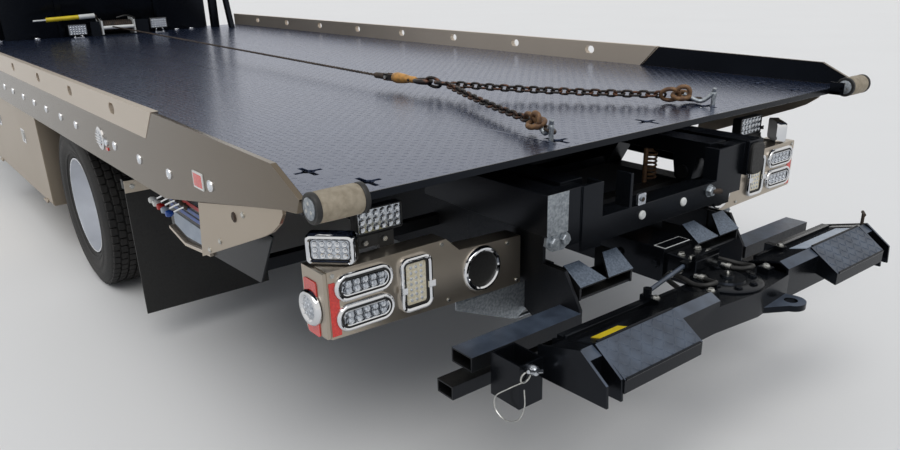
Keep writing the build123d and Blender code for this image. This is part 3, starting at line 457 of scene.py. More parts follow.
def stampTree():
    tree = bpy.data.node_groups.new("stamp_on_points", "GeometryNodeTree")
    for name, kind in (("Guide", "Geometry"), ("Stamp", "Object"), ("Size", "Float"), ("Finish", "Material")):
        tree.interface.new_socket(name=name, in_out="INPUT", socket_type="NodeSocket" + kind)
    tree.interface.new_socket(name="Stamped", in_out="OUTPUT", socket_type="NodeSocketGeometry")
    group = addNode(tree, "NodeGroupInput").outputs
    turn = addNode(tree, "GeometryNodeInputNamedAttribute", {"Name": "turn"}, data_type="FLOAT_VECTOR")
    stamp = addNode(tree, "GeometryNodeObjectInfo", {"Object": group["Stamp"]}, transform_space="ORIGINAL")
    rotation = addNode(tree, "FunctionNodeEulerToRotation", {"Euler": turn.outputs["Attribute"]})
    stamps = addNode(tree, "GeometryNodeInstanceOnPoints",
                     {"Points": group["Guide"], "Instance": stamp.outputs["Geometry"],
                      "Rotation": rotation.outputs["Rotation"], "Scale": group["Size"]})
    real = addNode(tree, "GeometryNodeRealizeInstances", {"Geometry": stamps.outputs["Instances"]})
    painted = addNode(tree, "GeometryNodeSetMaterial",
                      {"Geometry": real.outputs["Geometry"], "Material": group["Finish"]})
    addNode(tree, "NodeGroupOutput", {"Stamped": painted.outputs["Geometry"]})
    return tree


stamping = stampTree()


def plainMesh(worker, name):
    # the evaluated result as a mesh of its own, with the modifier gone
    bpy.context.view_layer.update()
    made = bpy.data.meshes.new_from_object(worker.evaluated_get(bpy.context.evaluated_depsgraph_get()))
    made.name = name
    worker.modifiers.clear()
    bpy.data.objects.remove(worker)
    return bpy.data.objects.new(name, made)


def stampedPiece(name, body, shape, spots, material, smooth=35):
    # shape is drawn about the origin; spots are (point in mm, (turn x, turn y, turn z) in degrees)
    stampMesh = closeShape(shape, name + "_stamp", lambda co: co * mm, 0.001)
    stamp = bpy.data.objects.new(name + "_stamp", stampMesh)
    guideMesh = bpy.data.meshes.new(name + "_guide")
    guideMesh.from_pydata([toFrame(spot) for spot, turn in spots], [], [])
    turns = guideMesh.attributes.new("turn", "FLOAT_VECTOR", "POINT")
    for i, (spot, turn) in enumerate(spots):
        turns.data[i].vector = [radians(a) for a in turn]
    guide = bpy.data.objects.new(name + "_guide", guideMesh)
    for each in (stamp, guide):
        bpy.context.scene.collection.objects.link(each)
    modifier = guide.modifiers.new("stamp", "NODES")
    modifier.node_group = stamping
    values = {"Stamp": stamp, "Size": 1.0, "Finish": material}
    for item in stamping.interface.items_tree:
        if item.name in values:
            modifier[item.identifier] = values[item.name]
    piece = plainMesh(guide, name)
    bpy.data.objects.remove(stamp)
    return placePiece(piece, body, smooth=smooth)


# wheels
wheels = {"front": {"centre": (8270, 421.5), "offsets": (1010,), "nutFace": 997,
                    "body": "front_wheel_", "tyre": "front_tyre_"},
          "rear": {"centre": (2610, 421.5), "offsets": (1117.5, 837.5), "nutFace": 990.5,
                   "body": "rear_wheels_", "tyre": "rear_tyres_"}}
# the tyre's half section as (radius, reach from its middle); lug rows as (reach, shift in pitches)
tyre = {"side": [(248, 84), (256, 94), (270, 98), (272, 103), (285, 105), (287, 103), (310, 112),
                 (334, 117.2), (337, 115.4), (356, 113.5), (359, 115.2), (380, 109), (397, 102), (407, 96),
                 (410, 91)],
        "lugRadius": 415.5, "lugs": 62, "rows": ((77, 0.5), (-77, 0.5), (39, 0), (-39, 0), (0, 0.5))}
wheelNuts = {"count": 10, "circle": 142}


def aroundAxle(centre, y, radius, count, shift=0.0):
    # places on a circle about the axle, each turned to face outwards
    angles = [2 * pi * (k + shift) / count for k in range(count)]
    return [((centre[0] + radius * sin(a), y, centre[1] + radius * cos(a)), (0, degrees(a), 0))
            for a in angles]


def treadLug():
    lug = Shape()
    low, high = rounded(0, 0, 37, 31, 4, 1), rounded(0, 0, 33, 27, 4, 1)
    lug.loft([facing(low, -6, "z"), facing(low, 3.5, "z"), facing(high, 5.8, "z")], tyreRubber, tyreRubber)
    return lug


def wheelNut():
    # a flanged nut with a bullet-nosed sleeve, its axis along y
    nut = Shape()
    nut.lathe([(0, 0), (21, 0), (21, 3), (17, 5)], "y", (0, 0, 0), chrome, around=12)
    bolts(nut, [(0, 4, 0)], "y", 32, 16, chrome, turn=0)
    nut.lathe([(12, 19), (11, 24), (6, 27), (0, 28)], "y", (0, 0, 0), chrome, around=12)
    return nut


def buildWheels(end, side, way):
    wheel = wheels[end]
    x, z = wheel["centre"]
    body, node = wheel["body"] + side, wheel["tyre"] + side

    def tyres(shape):
        for y in wheel["offsets"]:
            profile = [(r, a) for r, a in tyre["side"]] + [(r, -a) for r, a in reversed(tyre["side"])]
            shape.lathe(profile + profile[:1], "y", (x, way * y, z), tyreRubber, around=96)

    makePiece(node + "_moulded", body, tyres, stands=(node,), smooth=50)
    lugs = [spot for y in wheel["offsets"] for reach, shift in tyre["rows"]
            for spot in aroundAxle((x, z), way * y + reach, tyre["lugRadius"], tyre["lugs"], shift)]
    stampedPiece(node + "_tread", body, treadLug(), lugs, tyreRubber)
    nut = wheelNut()
    if way < 0:
        nut.flip()
    nuts = aroundAxle((x, z), way * wheel["nutFace"], wheelNuts["circle"], wheelNuts["count"])
    stampedPiece(end + "_wheel_nuts_" + side, body, nut, nuts, chrome)


print("wheels")
for side, way in (("left", 1), ("right", -1)):
    for end in wheels:
        buildWheels(end, side, way)

# deck
keySlots = ((91, 1044), (293, 1106), (94, 345), (91, -87), (128, -473), (91, -1044), (293, -1106))
deckTread = {"pitch": 25.4, "start": 26, "length": 6000, "halfColumns": 49, "seam": 377, "seamGap": 12,
             "slotGap": (64, 56)}
lozengeFaces = [[0, 1, 5, 4], [1, 2, 5], [2, 3, 5], [3, 0, 4, 5]]


def lozenge(length, width, ridge, height, material):
    # a raised lozenge with a ridge along it, all half sizes but the height
    stamp = Shape()
    stamp.add([(-length, 0, 0), (0, -width, 0), (length, 0, 0), (0, width, 0), (-ridge, 0, height),
               (ridge, 0, height)], lozengeFaces, material)
    return stamp


def treadSpots():
    pitch, half = deckTread["pitch"], deckTread["halfColumns"]
    alongGap, acrossGap = deckTread["slotGap"]
    spots = []
    for row in range(int(deckTread["length"] / pitch)):
        for column in range(-half, half + 1):
            x, y = deckTread["start"] + row * pitch, column * pitch
            clear = all(abs(x - sx) > alongGap or abs(y - sy) > acrossGap for sx, sy in keySlots)
            if clear and abs(abs(y) - deckTread["seam"]) > deckTread["seamGap"]:
                spots.append(((x, y, deckTop), (0, 0, 45 if (row + column) % 2 else -45)))
    return spots


def deckSeams(shape):
    # ground-down welds where the floor plates meet, and the bent lip along the tail
    for y in (deckTread["seam"], -deckTread["seam"]):
        weld = [(y - 7, deckTop), (y + 7, deckTop), (y + 3, deckTop + 0.6), (y - 3, deckTop + 0.6)]
        shape.prism(weld, 12, 6030, "x", deckPlate)
    shape.block(-1, 3, -1278, 1278, deckTop - 9, deckTop + 1.5, blackEnamel)


print("deck")
stampedPiece("deck_tread", "deck", lozenge(9.5, 3.2, 5, 0.5, deckPlate), treadSpots(), deckPlate, smooth=0)
makePiece("deck_seams", "deck", deckSeams, smooth=35)

# lamps on the side rail as (x, z); the strobe stands among them
bandLamps = {"markers": ((531, 967), (885, 935), (1186, 930), (1480, 930), (2050, 930), (2320, 930),
                         (2610, 930), (2880, 930), (3145, 930), (3430, 930), (3680, 930)),
             "strobe": (1670, 930), "reflector": (623, 965)}


def markerLamp(shape, x, y, z):
    shape.lathe([(18, 0), (18, 3), (16.5, 5), (14, 5.2), (13.5, 3.5)], "y", (x, y, z), chrome, around=24)
    shape.lathe([(13.6, 3.5), (12.5, 5.4), (9, 6.6), (4, 7.1), (0, 7.2)], "y", (x, y, z), clearLens,
                around=24)


def hoodedStrobe(shape, x, y, z):
    # a round strobe behind a ribbed chrome hood, with its small lamp and reflector to the rear
    shape.lathe([(46, 0), (46, 3), (42, 6), (37, 6.5), (34, 4)], "y", (x, y, z), chrome, around=36)
    shape.lathe([(34, 4), (28, 7), (14, 9), (0, 9.5)], "y", (x, y, z), ledSilver, around=36)
    for rib in range(4):
        lift = 12 * rib - 18
        half, reach = sqrt(36 ** 2 - lift ** 2), 11.5 - 0.5 * abs(rib - 1.5)
        shape.block(x - half, x + half, y + 5, y + reach, z + lift - 2, z + lift + 2, chrome)
    shape.block(x - 62, x - 46, y, y + 7, z - 14, z + 10, chrome)
    shape.lathe([(13, 0), (13, 4), (9, 7), (0, 8)], "y", (x - 78, y, z - 6), clearLens, around=20)
    shape.block(x - 92, x - 66, y, y + 4, z - 36, z - 24, redReflector)


def bandFittings(shape):
    for x, z in bandLamps["markers"]:
        markerLamp(shape, x, deckSide, z)
    x, z = bandLamps["strobe"]
    hoodedStrobe(shape, x, deckSide, z)
    # an oblong red reflector in a pale border
    x, z = bandLamps["reflector"]
    outer, inner = rounded(x, z, 78, 52, 4, 2), rounded(x, z, 66, 40, 3, 2)
    rings = [facing(ring, deckSide + lift, "y") for ring, lift in ((outer, 0), (outer, 3), (inner, 3.6))]
    shape.loft(rings, whiteEnamel, redReflector)


# bolts of the gusset as (x, z, width across the flats, material)
gussetBolts = ((399, 904, 20, castIron), (334, 926, 12, zincPlate), (531, 798, 12, zincPlate),
               (628, 745, 12, zincPlate))


def skirtBolts(shape):
    for x, z, across, material in gussetBolts:
        bolts(shape, [(x, deckSide - 5, z)], "y", across, 5, material, washer=across * 1.5)


def wingLiner(shape):
    # the inner skins of the wings are enamelled like the deck
    outline = [(-14, deckTop + 28), (0, deckTop + 0.5), (1072, deckTop + 0.5), (972, deckTop + 97),
               (114, deckTop + 86)]
    shape.prism(outline, deckSide - 16.2, deckSide - 15.2, "y", blackEnamel)


flapHanger = {"rear": 1676, "inner": 660, "outer": 1240, "middle": 716, "half": 26,
              "bolts": (700, 830, 960, 1090, 1210)}


def flapHangers(shape):
    # stainless strips that clamp the tops of the flaps
    x, z, half = flapHanger["rear"], flapHanger["middle"], flapHanger["half"]
    shape.block(x, x + 5, flapHanger["inner"], flapHanger["outer"], z - half, z + half, stainlessPanel)
    bolts(shape, [(x, y, z) for y in flapHanger["bolts"]], "-x", 15, 6, zincPlate, washer=22)


tailRoller = {"x": -60, "z": deckTop + 13, "inner": deckSide - 145.5, "outer": deckSide - 3.5}


def roller(shape):
    # a urethane sleeve between rubber rings, with a bolted cap on each end, on a bent hanger
    x, z, inner, outer = (tailRoller[key] for key in ("x", "z", "inner", "outer"))
    half = (outer - inner) / 2
    sleeve = [(30, 14 - half), (35, 14 - half), (37.4, 20 - half), (37.8, 0), (37.4, half - 20),
              (35, half - 14), (30, half - 14)]
    shape.lathe(sleeve, "y", (x, inner + half, z), urethane, around=40)
    for y in (inner, outer - 14):
        ring = [(20, 0), (36.5, 0), (38, 3), (38, 11), (36.5, 14), (20, 14), (20, 0)]
        shape.lathe(ring, "y", (x, y, z), flapRubber, around=40)
    for y, way in ((outer, 1), (inner, -1)):
        endCap = [(27, 0), (27, way * 2), (24, way * 3.6), (0, way * 3.6)]
        shape.lathe(endCap, "y", (x, y, z), galvanised, around=32)
        spots = facing(polygon(13, 3, pi / 2, (x, z)), y + way * 1.2, "y")
        bolts(shape, spots, "y" if way > 0 else "-y", 9, 2.8, zincPlate)
    shape.block(-45, -1, inner - 4, outer - 22, deckTop - 20, deckTop - 8, blackEnamel)
    shape.block(x, -1, inner - 4, inner, deckTop - 20, deckTop + 30, blackEnamel)


makePiece("band_lamps", "deck", bandFittings, "both")
makePiece("skirt_bolts", "deck", skirtBolts, "both", smooth=35)
makePiece("wing_liners", "deck", wingLiner, "both", smooth=0)
makePiece("flap_hangers", "chassis", flapHangers, "both", smooth=35, bevel=0.8)
makePiece("tail_rollers", "deck", roller, "both", stands=("corner_rollers",))


# rigging: the winch rope, its swivel hook and the two chain legs, held taut above the plate
rig = {"junction": Vector((1024, 52, deckTop + 50)), "ropeEnd": Vector((1500, 104, deckTop + 50)),
       "drum": Vector((5886, 30, deckTop + 74)), "left": Vector((250, 322, deckTop + 42)),
       "right": Vector((270, -412, deckTop + 34)), "leftFoot": Vector((114, 352, deckTop)),
       "rightFoot": Vector((121, -512, deckTop)), "linkPitch": 31, "sag": 26}


def chainLink():
    # a link of round bar, lying along x
    link = Shape()
    route = []
    for end, start in ((8, -90), (-8, 90)):
        for step in range(7):
            angle = radians(start + 30 * step)
            route.append((end + 12.5 * cos(angle), 12.5 * sin(angle), 0))
    link.tube(route, 5, rustyChain, around=8, closed=True)
    return link


def legSpots(start, end, first):
    # links at the chain's pitch, each rolled a quarter turn from the last, the leg sagging a little
    run = end - start
    count = round(run.length / rig["linkPitch"])
    heading = degrees(atan2(run.y, run.x))
    pitch = -degrees(atan2(run.z, hypot(run.x, run.y)))
    spots = []
    for k in range(count):
        share = (k + 0.5) / count
        point = start + run * share - Vector((0, 0, rig["sag"] * share * (1 - share)))
        slope = pitch + 2.2 * (1 - 2 * share)
        spots.append((tuple(point), (22 if (k + first) % 2 else 112, slope, heading)))
    return spots


def swivelHook(shape):
    # from the rope's end: a wedge socket, the orange swivel, the bow that holds the joining link
    run = rig["ropeEnd"] - rig["junction"]
    place = placed(rig["junction"], degrees(atan2(run.y, run.x)))

    def pin(x, y0, y1, radius, material, around):
        shape.tube([place @ Vector((x, y0, 0)), place @ Vector((x, y1, 0))], radius, material, around=around)

    bow = [place @ Vector((154 + 42 * cos(a), 27 * sin(a), 0)) for a in
           (radians(14 + 332 * k / 22) for k in range(23))]
    shape.tube(bow, [8 + 4.5 * sin(pi * k / 22) for k in range(23)], rustyChain, around=12)
    swivel = [(0, 190), (11, 192), (15, 206), (15, 236), (19, 258), (22, 282), (24, 318), (21, 338),
              (15, 346), (0, 347)]
    shape.lathe(swivel, "x", (0, 0, 0), orangeForging, around=24, place=place)
    pin(228, -21, 21, 5, castIron, 10)
    for y in (-17, 9):
        shape.block(338, 398, y, y + 8, -15, 15, rustyChain, place)
    pin(382, -26, 24, 8, zincPlate, 12)
    socket = [(0, 384), (15, 386), (16, 400), (14, 420), (13, 470), (10, 476), (0, 477)]
    shape.lathe(socket, "x", (0, 0, 0), castIron, around=18, place=place)
    ovalRing(shape, place @ placed((84, 0, 0), roll=64), 86, 46, 7, rustyChain)
    ovalRing(shape, place @ placed((22, 0, 0), roll=12), 72, 64, 8.5, rustyChain, around=12, steps=24)


def hookEnd(shape, spot, foot, heading):
    # a rusted coupler, a grab hook on its edge, a spare J hook and the T hook that stands in the key slot
    place = placed(spot, heading)

    def route(*points):
        return curve([place @ Vector(p) for p in points], 4)

    ovalRing(shape, place @ placed((-22, 0, 0), roll=70), 70, 48, 8, rustyForging)
    ovalRing(shape, place @ placed((-62, 4, -2), roll=-20), 62, 54, 9, rustyForging)
    shape.tube(route((-40, 6, 14), (-58, 8, 30), (-84, 10, 28), (-92, 10, 8), (-78, 8, -12), (-60, 6, -8)), 9,
               rustyForging)
    spareThickness = [9] * 9 + [8.5, 8, 8, 8, 7.5, 7, 7, 6.5, 6, 6, 5.5, 5]
    shape.tube(route((-50, -14, -4), (-80, -26, -18), (-112, -30, -22), (-134, -18, -20), (-132, -2, -14),
                     (-112, 2, -12)), spareThickness, castIron)
    tee = [place @ Vector((-72, 4, 4)), spot.lerp(foot, 0.75) + Vector((0, 0, 4)), foot + Vector((0, 0, 44)),
           foot + Vector((0, 0, 20)), foot + Vector((0, 0, -16))]
    shape.tube(curve(tee, 5), 8, galvanised, around=12)
    shape.tube([foot + Vector((4, -2, 40)), foot + Vector((-4, 2, 62))], [9, 7], galvanised, around=12)
    shape.tube([foot + Vector((-26, -6, -14)), foot + Vector((26, 6, -14))], 8, galvanised)


def winchRope(shape):
    # three strands laid round each other
    start, end = rig["ropeEnd"] + Vector((-34, -3, 0)), rig["drum"]
    along = (end - start).normalized()
    side = along.orthogonal().normalized()
    up = along.cross(side)
    steps, lay, strands = 200, 4, 3
    for strand in range(strands):
        route = []
        for step in range(steps + 1):
            angle = 2 * pi * (step / lay + strand / strands)
            route.append(start.lerp(end, step / steps) + 3.1 * (cos(angle) * side + sin(angle) * up))
        shape.tube(route, 3.5, castIron, around=6)


def hooksAndRope(shape):
    hookEnd(shape, rig["left"], rig["leftFoot"], -15)
    hookEnd(shape, rig["right"], rig["rightFoot"], 40)
    swivelHook(shape)
    winchRope(shape)


print("rigging")
makePiece("winch_hooks", "deck", hooksAndRope, stands=("winch_rigging",), smooth=50)
links = legSpots(rig["junction"] + Vector((-14, 10, 0)), rig["left"], 0)
links += legSpots(rig["junction"] + Vector((-14, -10, 0)), rig["right"], 1)
stampedPiece("bridle_chain", "deck", chainLink(), links, rustyChain, smooth=60)

# the winch, the lights beside it and the beacon bar
winch = {"rear": 5870, "top": 1163, "pole": 1186, "turns": 14, "turnPitch": 18}


def winchTrim(shape):
    # enamelled end flanges and guide roller, the clutch pole in its yellow sleeve, the rope on the drum
    rear, top = winch["rear"], winch["top"]
    for y in (111, -166):
        side = [(rear - 2, deckTop + 4), (rear - 2, top - 17), (rear + 46, top), (rear + 150, top),
                (rear + 150, deckTop + 4)]
        shape.prism(side, y, y + 12, "y", whiteEnamel)
    shape.lathe([(0, -153), (15, -153), (15, 110), (0, 110)], "y", (rear + 10, 0, 1087), whiteEnamel,
                around=20)
    for turn in range(winch["turns"]):
        place = placed((rear + 80, winch["turnPitch"] * turn - 142, 1095), roll=90)
        ovalRing(shape, place, 86, 86, 8, castIron, around=6)
    z = winch["pole"]
    shape.tube([(rear, 660, z - 10), (rear, 540, z - 7)], 7, whiteEnamel, around=12)
    shape.tube([(rear, 560, z - 7), (rear, 300, z + 2)], 18, yellowLabel, around=16)
    shape.tube([(rear, 298, z + 2), (rear, 168, z + 7)], 20, whiteEnamel, around=16)
    shape.tube([(rear + 4, 160, z + 6), (rear + 60, 130, 1150)], 8, castIron)
    hose = [(rear + 30, -20, 1165), (rear + 20, -90, 1180), (rear + 60, -150, 1172), (rear + 120, -210, 1150)]
    shape.tube(curve(hose), 6, flapRubber, around=8)


def gridLight(shape, x, y, z, width, height, columns, rows):
    # a cast housing whose face, towards the tail, is a grid of moulded lenses over diodes
    def ring(inset, depth):
        return facing(rounded(y, z, width - 2 * inset, height - 2 * inset, max(7 - inset, 1.5), 3), x + depth)

    rings = [ring(*each) for each in ((6, 44), (0, 30), (0, 2), (2, 0), (5, 0), (6, 4))]
    shape.loft(rings, blackPlastic)
    shape.cap(rings[0], blackPlastic)
    shape.cap(rings[-1], ledSilver)
    stepY, stepZ = (width - 14) / columns, (height - 14) / rows
    reach = min(stepY, stepZ) * 0.42
    for row in range(rows):
        for column in range(columns):
            centre = (x, y + stepY * (column - (columns - 1) / 2), z + stepZ * (row - (rows - 1) / 2))
            shape.lathe([(reach * 1.2, 4), (reach, 1), (reach * 0.7, 2.5), (reach * 0.3, 3.5)], "x", centre,
                        ledSilver, around=8)
            shape.lathe([(reach * 0.3, 3.5), (0, 1.5)], "x", centre, clearLens, around=8)
    for fin in range(5):
        low = z - height / 2 + 8 + fin * (height - 16) / 5
        shape.block(x + 32, x + 46, y - width / 2 + 8, y + width / 2 - 8, low, low + 4, blackPlastic)


# flood lights as (y, underside), and the lashing rings' places across the deck
headboardFoot = {"lights": ((324, 1041), (-377, 1058)), "rings": (640, 930, -560, -700)}


def deckLights(shape):
    # flood lights on sprung wire feet
    for y, z in headboardFoot["lights"]:
        gridLight(shape, 5870, y, z + 44.5, 152, 89, 6, 4)
        for side in (-1, 1):
            wire = [(5880, y + side * 34, deckTop + 3), (5874, y + side * 30, z - 8),
                    (5884, y + side * 20, z)]
            shape.tube(curve(wire), 4, chrome, around=8)
        shape.block(5866, 5900, y - 44, y + 44, deckTop, deckTop + 4, chrome)


def tieDowns(shape):
    # small plated lashing rings at the foot of the headboard
    for y in headboardFoot["rings"]:
        ovalRing(shape, placed((5950, y, deckTop + 8), heading=90, roll=12), 56, 40, 4, chrome, around=8)
        shape.block(5962, 5990, y - 12, y + 12, deckTop, deckTop + 9, chrome)


beacon = {"rear": 5892, "front": 6128, "under": 1769, "top": 1849, "half": 618, "middle": 206}


def beaconBar(shape):
    # amber lenses either side of a clear middle, on a black base along the headboard's top
    x0, x1, z0, z1 = (beacon[key] for key in ("rear", "front", "under", "top"))
    half, middle = beacon["half"], beacon["middle"]
    section = [(x0, z0), (x0 + 14, z1 - 7), (x0 + 40, z1), (x1 - 40, z1), (x1 - 14, z1 - 7), (x1, z0)]
    for y0, y1, material in ((-half, -middle - 4, amberLens), (-middle, middle, clearLens),
                             (middle + 4, half, amberLens)):
        shape.prism(section, y0, y1, "y", material)
    shape.block(x0, x1, -half - 2, half + 2, z0 - 8, z0, blackPlastic)
    for y in (-middle - 2, middle + 2):
        shape.prism(section, y - 2, y + 2, "y", blackPlastic)
    for y in range(-570, 600, 95):
        for x in (x0 + 3, x1 - 5):
            shape.block(x, x + 2, y - 32, y + 32, z0 + 13, z0 + 43, ledSilver)


print("winch and lights")
makePiece("winch_trim", "deck", winchTrim, smooth=45)


def headboardLights(shape):
    deckLights(shape)
    tieDowns(shape)
    beaconBar(shape)


makePiece("deck_lights", "deck", headboardLights, stands=("deck_lamps",))


# lamps at the tail, on the panel's rear face
panel = {"rear": 130, "outer": 1165, "inner": 463, "under": 586, "top": 785}


def bezel(shape, sizes, y, z, shrink, steps, bands):
    # a rounded rim that steps rearwards; a band is its material, its (inset, reach) steps and what closes it
    for material, depths, end in bands:
        rings = [facing(rounded(y, z, sizes["width"] - 2 * inset, sizes["height"] - 2 * inset,
                                sizes["corner"] - shrink * inset, steps), panel["rear"] - reach)
                 for inset, reach in depths]
        shape.loft(rings, material, end)


oval = {"width": 190, "height": 82, "corner": 40, "cupRadius": 12.4, "columnPitch": 27, "rowPitch": 19}


def ovalLamp(shape, y, z):
    # two chrome rings with a rubber gasket between, over two rows of five cups with a diode in each
    x, radius = panel["rear"] - 9, oval["cupRadius"]
    bezel(shape, oval, y, z, 1, 7, ((chrome, ((0, 0), (0, 9), (3, 14), (7, 16), (11, 13), (12, 8)), None),
                                    (flapRubber, ((12, 8), (13, 11), (17, 11)), None),
                                    (chrome, ((17, 11), (18, 14), (21, 13), (22, 6)), ledSilver)))
    for row in (-0.5, 0.5):
        for column in range(-2, 3):
            centre = (x, y + oval["columnPitch"] * column, z + oval["rowPitch"] * row)
            cup = [(radius, 0), (radius - 1, -2), (radius - 2.5, -2), (radius * 0.35, 1.5)]
            diode = [(radius * 0.4, 1.5), (radius * 0.3, -1.5), (0, -2)]
            shape.lathe(cup, "x", centre, ledSilver, around=12)
            shape.lathe(diode, "x", centre, clearLens, around=10)


square = {"width": 115, "height": 172, "corner": 28, "columnPitch": 18, "rowPitch": 17}


def squareLamp(shape, y, z):
    # the reversing lamp: a chrome rim and gasket over a board of diodes
    x = panel["rear"]
    bezel(shape, square, y, z, 0.9, 6, ((chrome, ((0, 0), (0, 8), (3, 14), (8, 16), (14, 12), (15, 8)), None),
                                        (flapRubber, ((15, 8), (16, 11), (20, 11), (22, 6)), warmLed)))
    for row in range(-3, 4):
        for column in range(-1, 2):
            centre = (x, y + square["columnPitch"] * column, z + square["rowPitch"] * row)
            shape.lathe([(5, -6), (4, -9), (0, -10)], "x", centre, clearLens, around=8)
    for low in (y - 62, y + 38):
        shape.block(x - 18, x - 10, low, low + 24, z - 22, z - 2, chrome)


def emptyRing(shape, y, z):
    # a chrome ring round an open grommet
    centre = (panel["rear"], y, z)
    shape.lathe([(75, 0), (74, -6), (69, -12), (63, -13), (58, -10), (57, -6)], "x", centre, chrome,
                around=48)
    shape.lathe([(57, -6), (55, -3), (51, -1.2), (0, -1)], "x", centre, flapRubber, around=48)


def sideLamp(shape):
    # a wide chrome ring over a red reflector on the outer side of the box
    x, z, y, rear = 205, 665, panel["outer"] + 12, panel["rear"]
    outline = rounded(x, z, 68, 166, 8, 3)
    shape.loft([facing(outline, y, "y"), facing(outline, y + 3, "y")], redReflector, redReflector)
    shape.lathe([(54, 2), (53, 12), (48, 17), (40, 17.5), (34, 12)], "y", (x, y, z), chrome, around=40)
    shape.lathe([(34, 12), (28, 15), (0, 16)], "y", (x, y, z), ledSilver, around=32)
    for across, up in polygon(17, 6, centre=(x, z)):
        shape.lathe([(5, 14), (4, 17), (0, 17.5)], "y", (across, y, up), clearLens, around=8)
    shape.block(rear - 2, rear - 0.2, 1134, 1163, 594, 752, redReflector)


strobe = {"width": 140, "height": 88, "corner": 16, "columnPitch": 21, "rowPitch": 17}


def cornerStrobe(shape):
    # a chrome-framed strobe on the box's corner, facing outwards and back
    place = placed((panel["rear"] + 56, panel["outer"] - 53, panel["top"]), heading=-45)

    def ring(inset, x):
        outline = rounded(0, 44, strobe["width"] - 2 * inset, strobe["height"] - 2 * inset,
                          strobe["corner"] - 0.5 * inset, 4)
        return [place @ Vector(point) for point in facing(outline, x)]

    for rings, material in ((((0, 18), (0, -16), (4, -24), (10, -26), (14, -22)), chrome),
                            (((14, -22), (17, -18)), flapRubber)):
        shape.loft([ring(*each) for each in rings], material)
    shape.cap(ring(0, 18), blackPlastic)
    shape.cap(ring(17, -18), ledSilver)
    for row in range(-1, 2):
        for column in range(-2, 3):
            centre = (0, strobe["columnPitch"] * column, 44 + strobe["rowPitch"] * row)
            shape.lathe([(8, -18), (7, -21), (3, -20)], "x", centre, chrome, around=10, place=place)
            shape.lathe([(4, -19), (3, -22), (0, -23)], "x", centre, clearLens, around=8, place=place)


def tailWorkLight(shape):
    rear, outer, top = panel["rear"], panel["outer"], panel["top"]
    gridLight(shape, rear + 75, outer - 225, top + 84, 156, 78, 6, 3)
    shape.block(rear + 70.3, rear + 85, outer - 265, outer - 215, top - 85, top + 46, blackPlastic)
    bolts(shape, [(rear + 70, y, top + 27) for y in (934, 999)], "-x", 15, 9, zincPlate)
    shape.block(rear + 71, rear + 76, outer - 250, outer - 150, top + 10, top + 46, blackPlastic)


def tailLampSet(shape):
    outer, under = panel["outer"], panel["under"]
    for z in (under + 55, under + 145):
        ovalLamp(shape, outer - 110, z)
    squareLamp(shape, outer - 284.5, under + 94)
    emptyRing(shape, panel["inner"] + 165, under + 71)
    sideLamp(shape)
    cornerStrobe(shape)
    tailWorkLight(shape)


def panelFittings(shape):
    # screws along the panel, the galvanised bracket below it and its bent edge
    x = panel["rear"]
    screws = ((780, 772), (520, 714), (1150, 772), (480, 578), (760, 588), (1010, 600))
    bolts(shape, facing(screws, x), "-x", 10, 4, zincPlate, washer=14)
    shape.prism([(728, 563), (481, 438), (360, 508), (372, 540), (423, 565)], x - 3, x, "x", galvanised)
    bolts(shape, [(x - 3, 423, 540)], "-x", 16, 6, zincPlate, washer=24)
    shape.block(x, x + 14, 360, 480, 436, 440, galvanised)


def strobeWires(shape):
    x, y, z = panel["rear"] + 96, panel["outer"] - 92, panel["top"]
    for k in range(3):
        route = [(x, y, z + 62 - 6 * k), (x + 22, y - 26 - 5 * k, z + 52),
                 (x + 26, y - 34 - 6 * k, z + 22), (x + 4, y - 20 - 8 * k, z - 6)]
        shape.tube(route, 3, flapRubber, around=6)


print("tail lamps")
makePiece("tail_lamp_set", "chassis", tailLampSet, "both", stands=("tail_lamps",))
makePiece("lamp_panel_fittings", "chassis", panelFittings, "both", smooth=35)
makePiece("strobe_wires", "chassis", strobeWires, "both", smooth=60)

# the tail's middle
crossbeam = {"face": -65, "caps": (107, -111), "squareFlange": (116, 820), "buffer": (-509, 852)}


def tailFittings(shape):
    # on the rear crossbeam: round caps, a square flange, bolted pads under the wear blocks
    x = crossbeam["face"]
    for y in crossbeam["caps"]:
        shape.lathe([(15, 0), (15, -4), (12, -7), (0, -8)], "x", (x, y, 764), whiteEnamel, around=24)
    y, z = crossbeam["squareFlange"]
    outer, inner = rounded(y, z, 38, 38, 3, 1), polygon(8, 12, pi / 12, (y, z))
    shape.loft([facing(outer, x + 6), facing(outer, x - 4)], ledSilver, ledSilver)
    shape.loft([facing(inner, x - 4), facing(inner, x - 9)], galvanised)
    shape.cap(facing(inner, x - 8), castIron)
    shape.block(x, x + 8, y - 16, y + 16, z - 22, z - 8, blackEnamel)
    pad = [(452, 779), (474, 801), (530, 803), (548, 789), (552, 764), (524, 741), (478, 738), (456, 752)]
    shape.prism(pad, x - 7, x + 2, "x", galvanised)
    bolts(shape, [(x - 7, 476, 772), (x - 7, 521, 770)], "-x", 32, 14, galvanised, washer=42)
    bolts(shape, [(x, -262, 773)], "-x", 34, 16, galvanised, washer=46)
    shape.tube([(x - 10, -262, 773), (x - 14, -310, 765)], 10, castIron, around=12)
    # a rubber buffer on the right-hand arm, a block with rounded corners
    y, z = crossbeam["buffer"]
    block = rounded(y, z, 78, 116, 22, 4)
    nose = [(y + 0.9 * (a - y), z + 0.93 * (b - z)) for a, b in block]
    shape.loft([facing(block, x - 13), facing(block, x - 23), facing(nose, x - 27)], flapRubber, flapRubber)


spring = {"centre": (235, -318), "foot": 745, "radius": 19, "coils": 7, "height": 105}


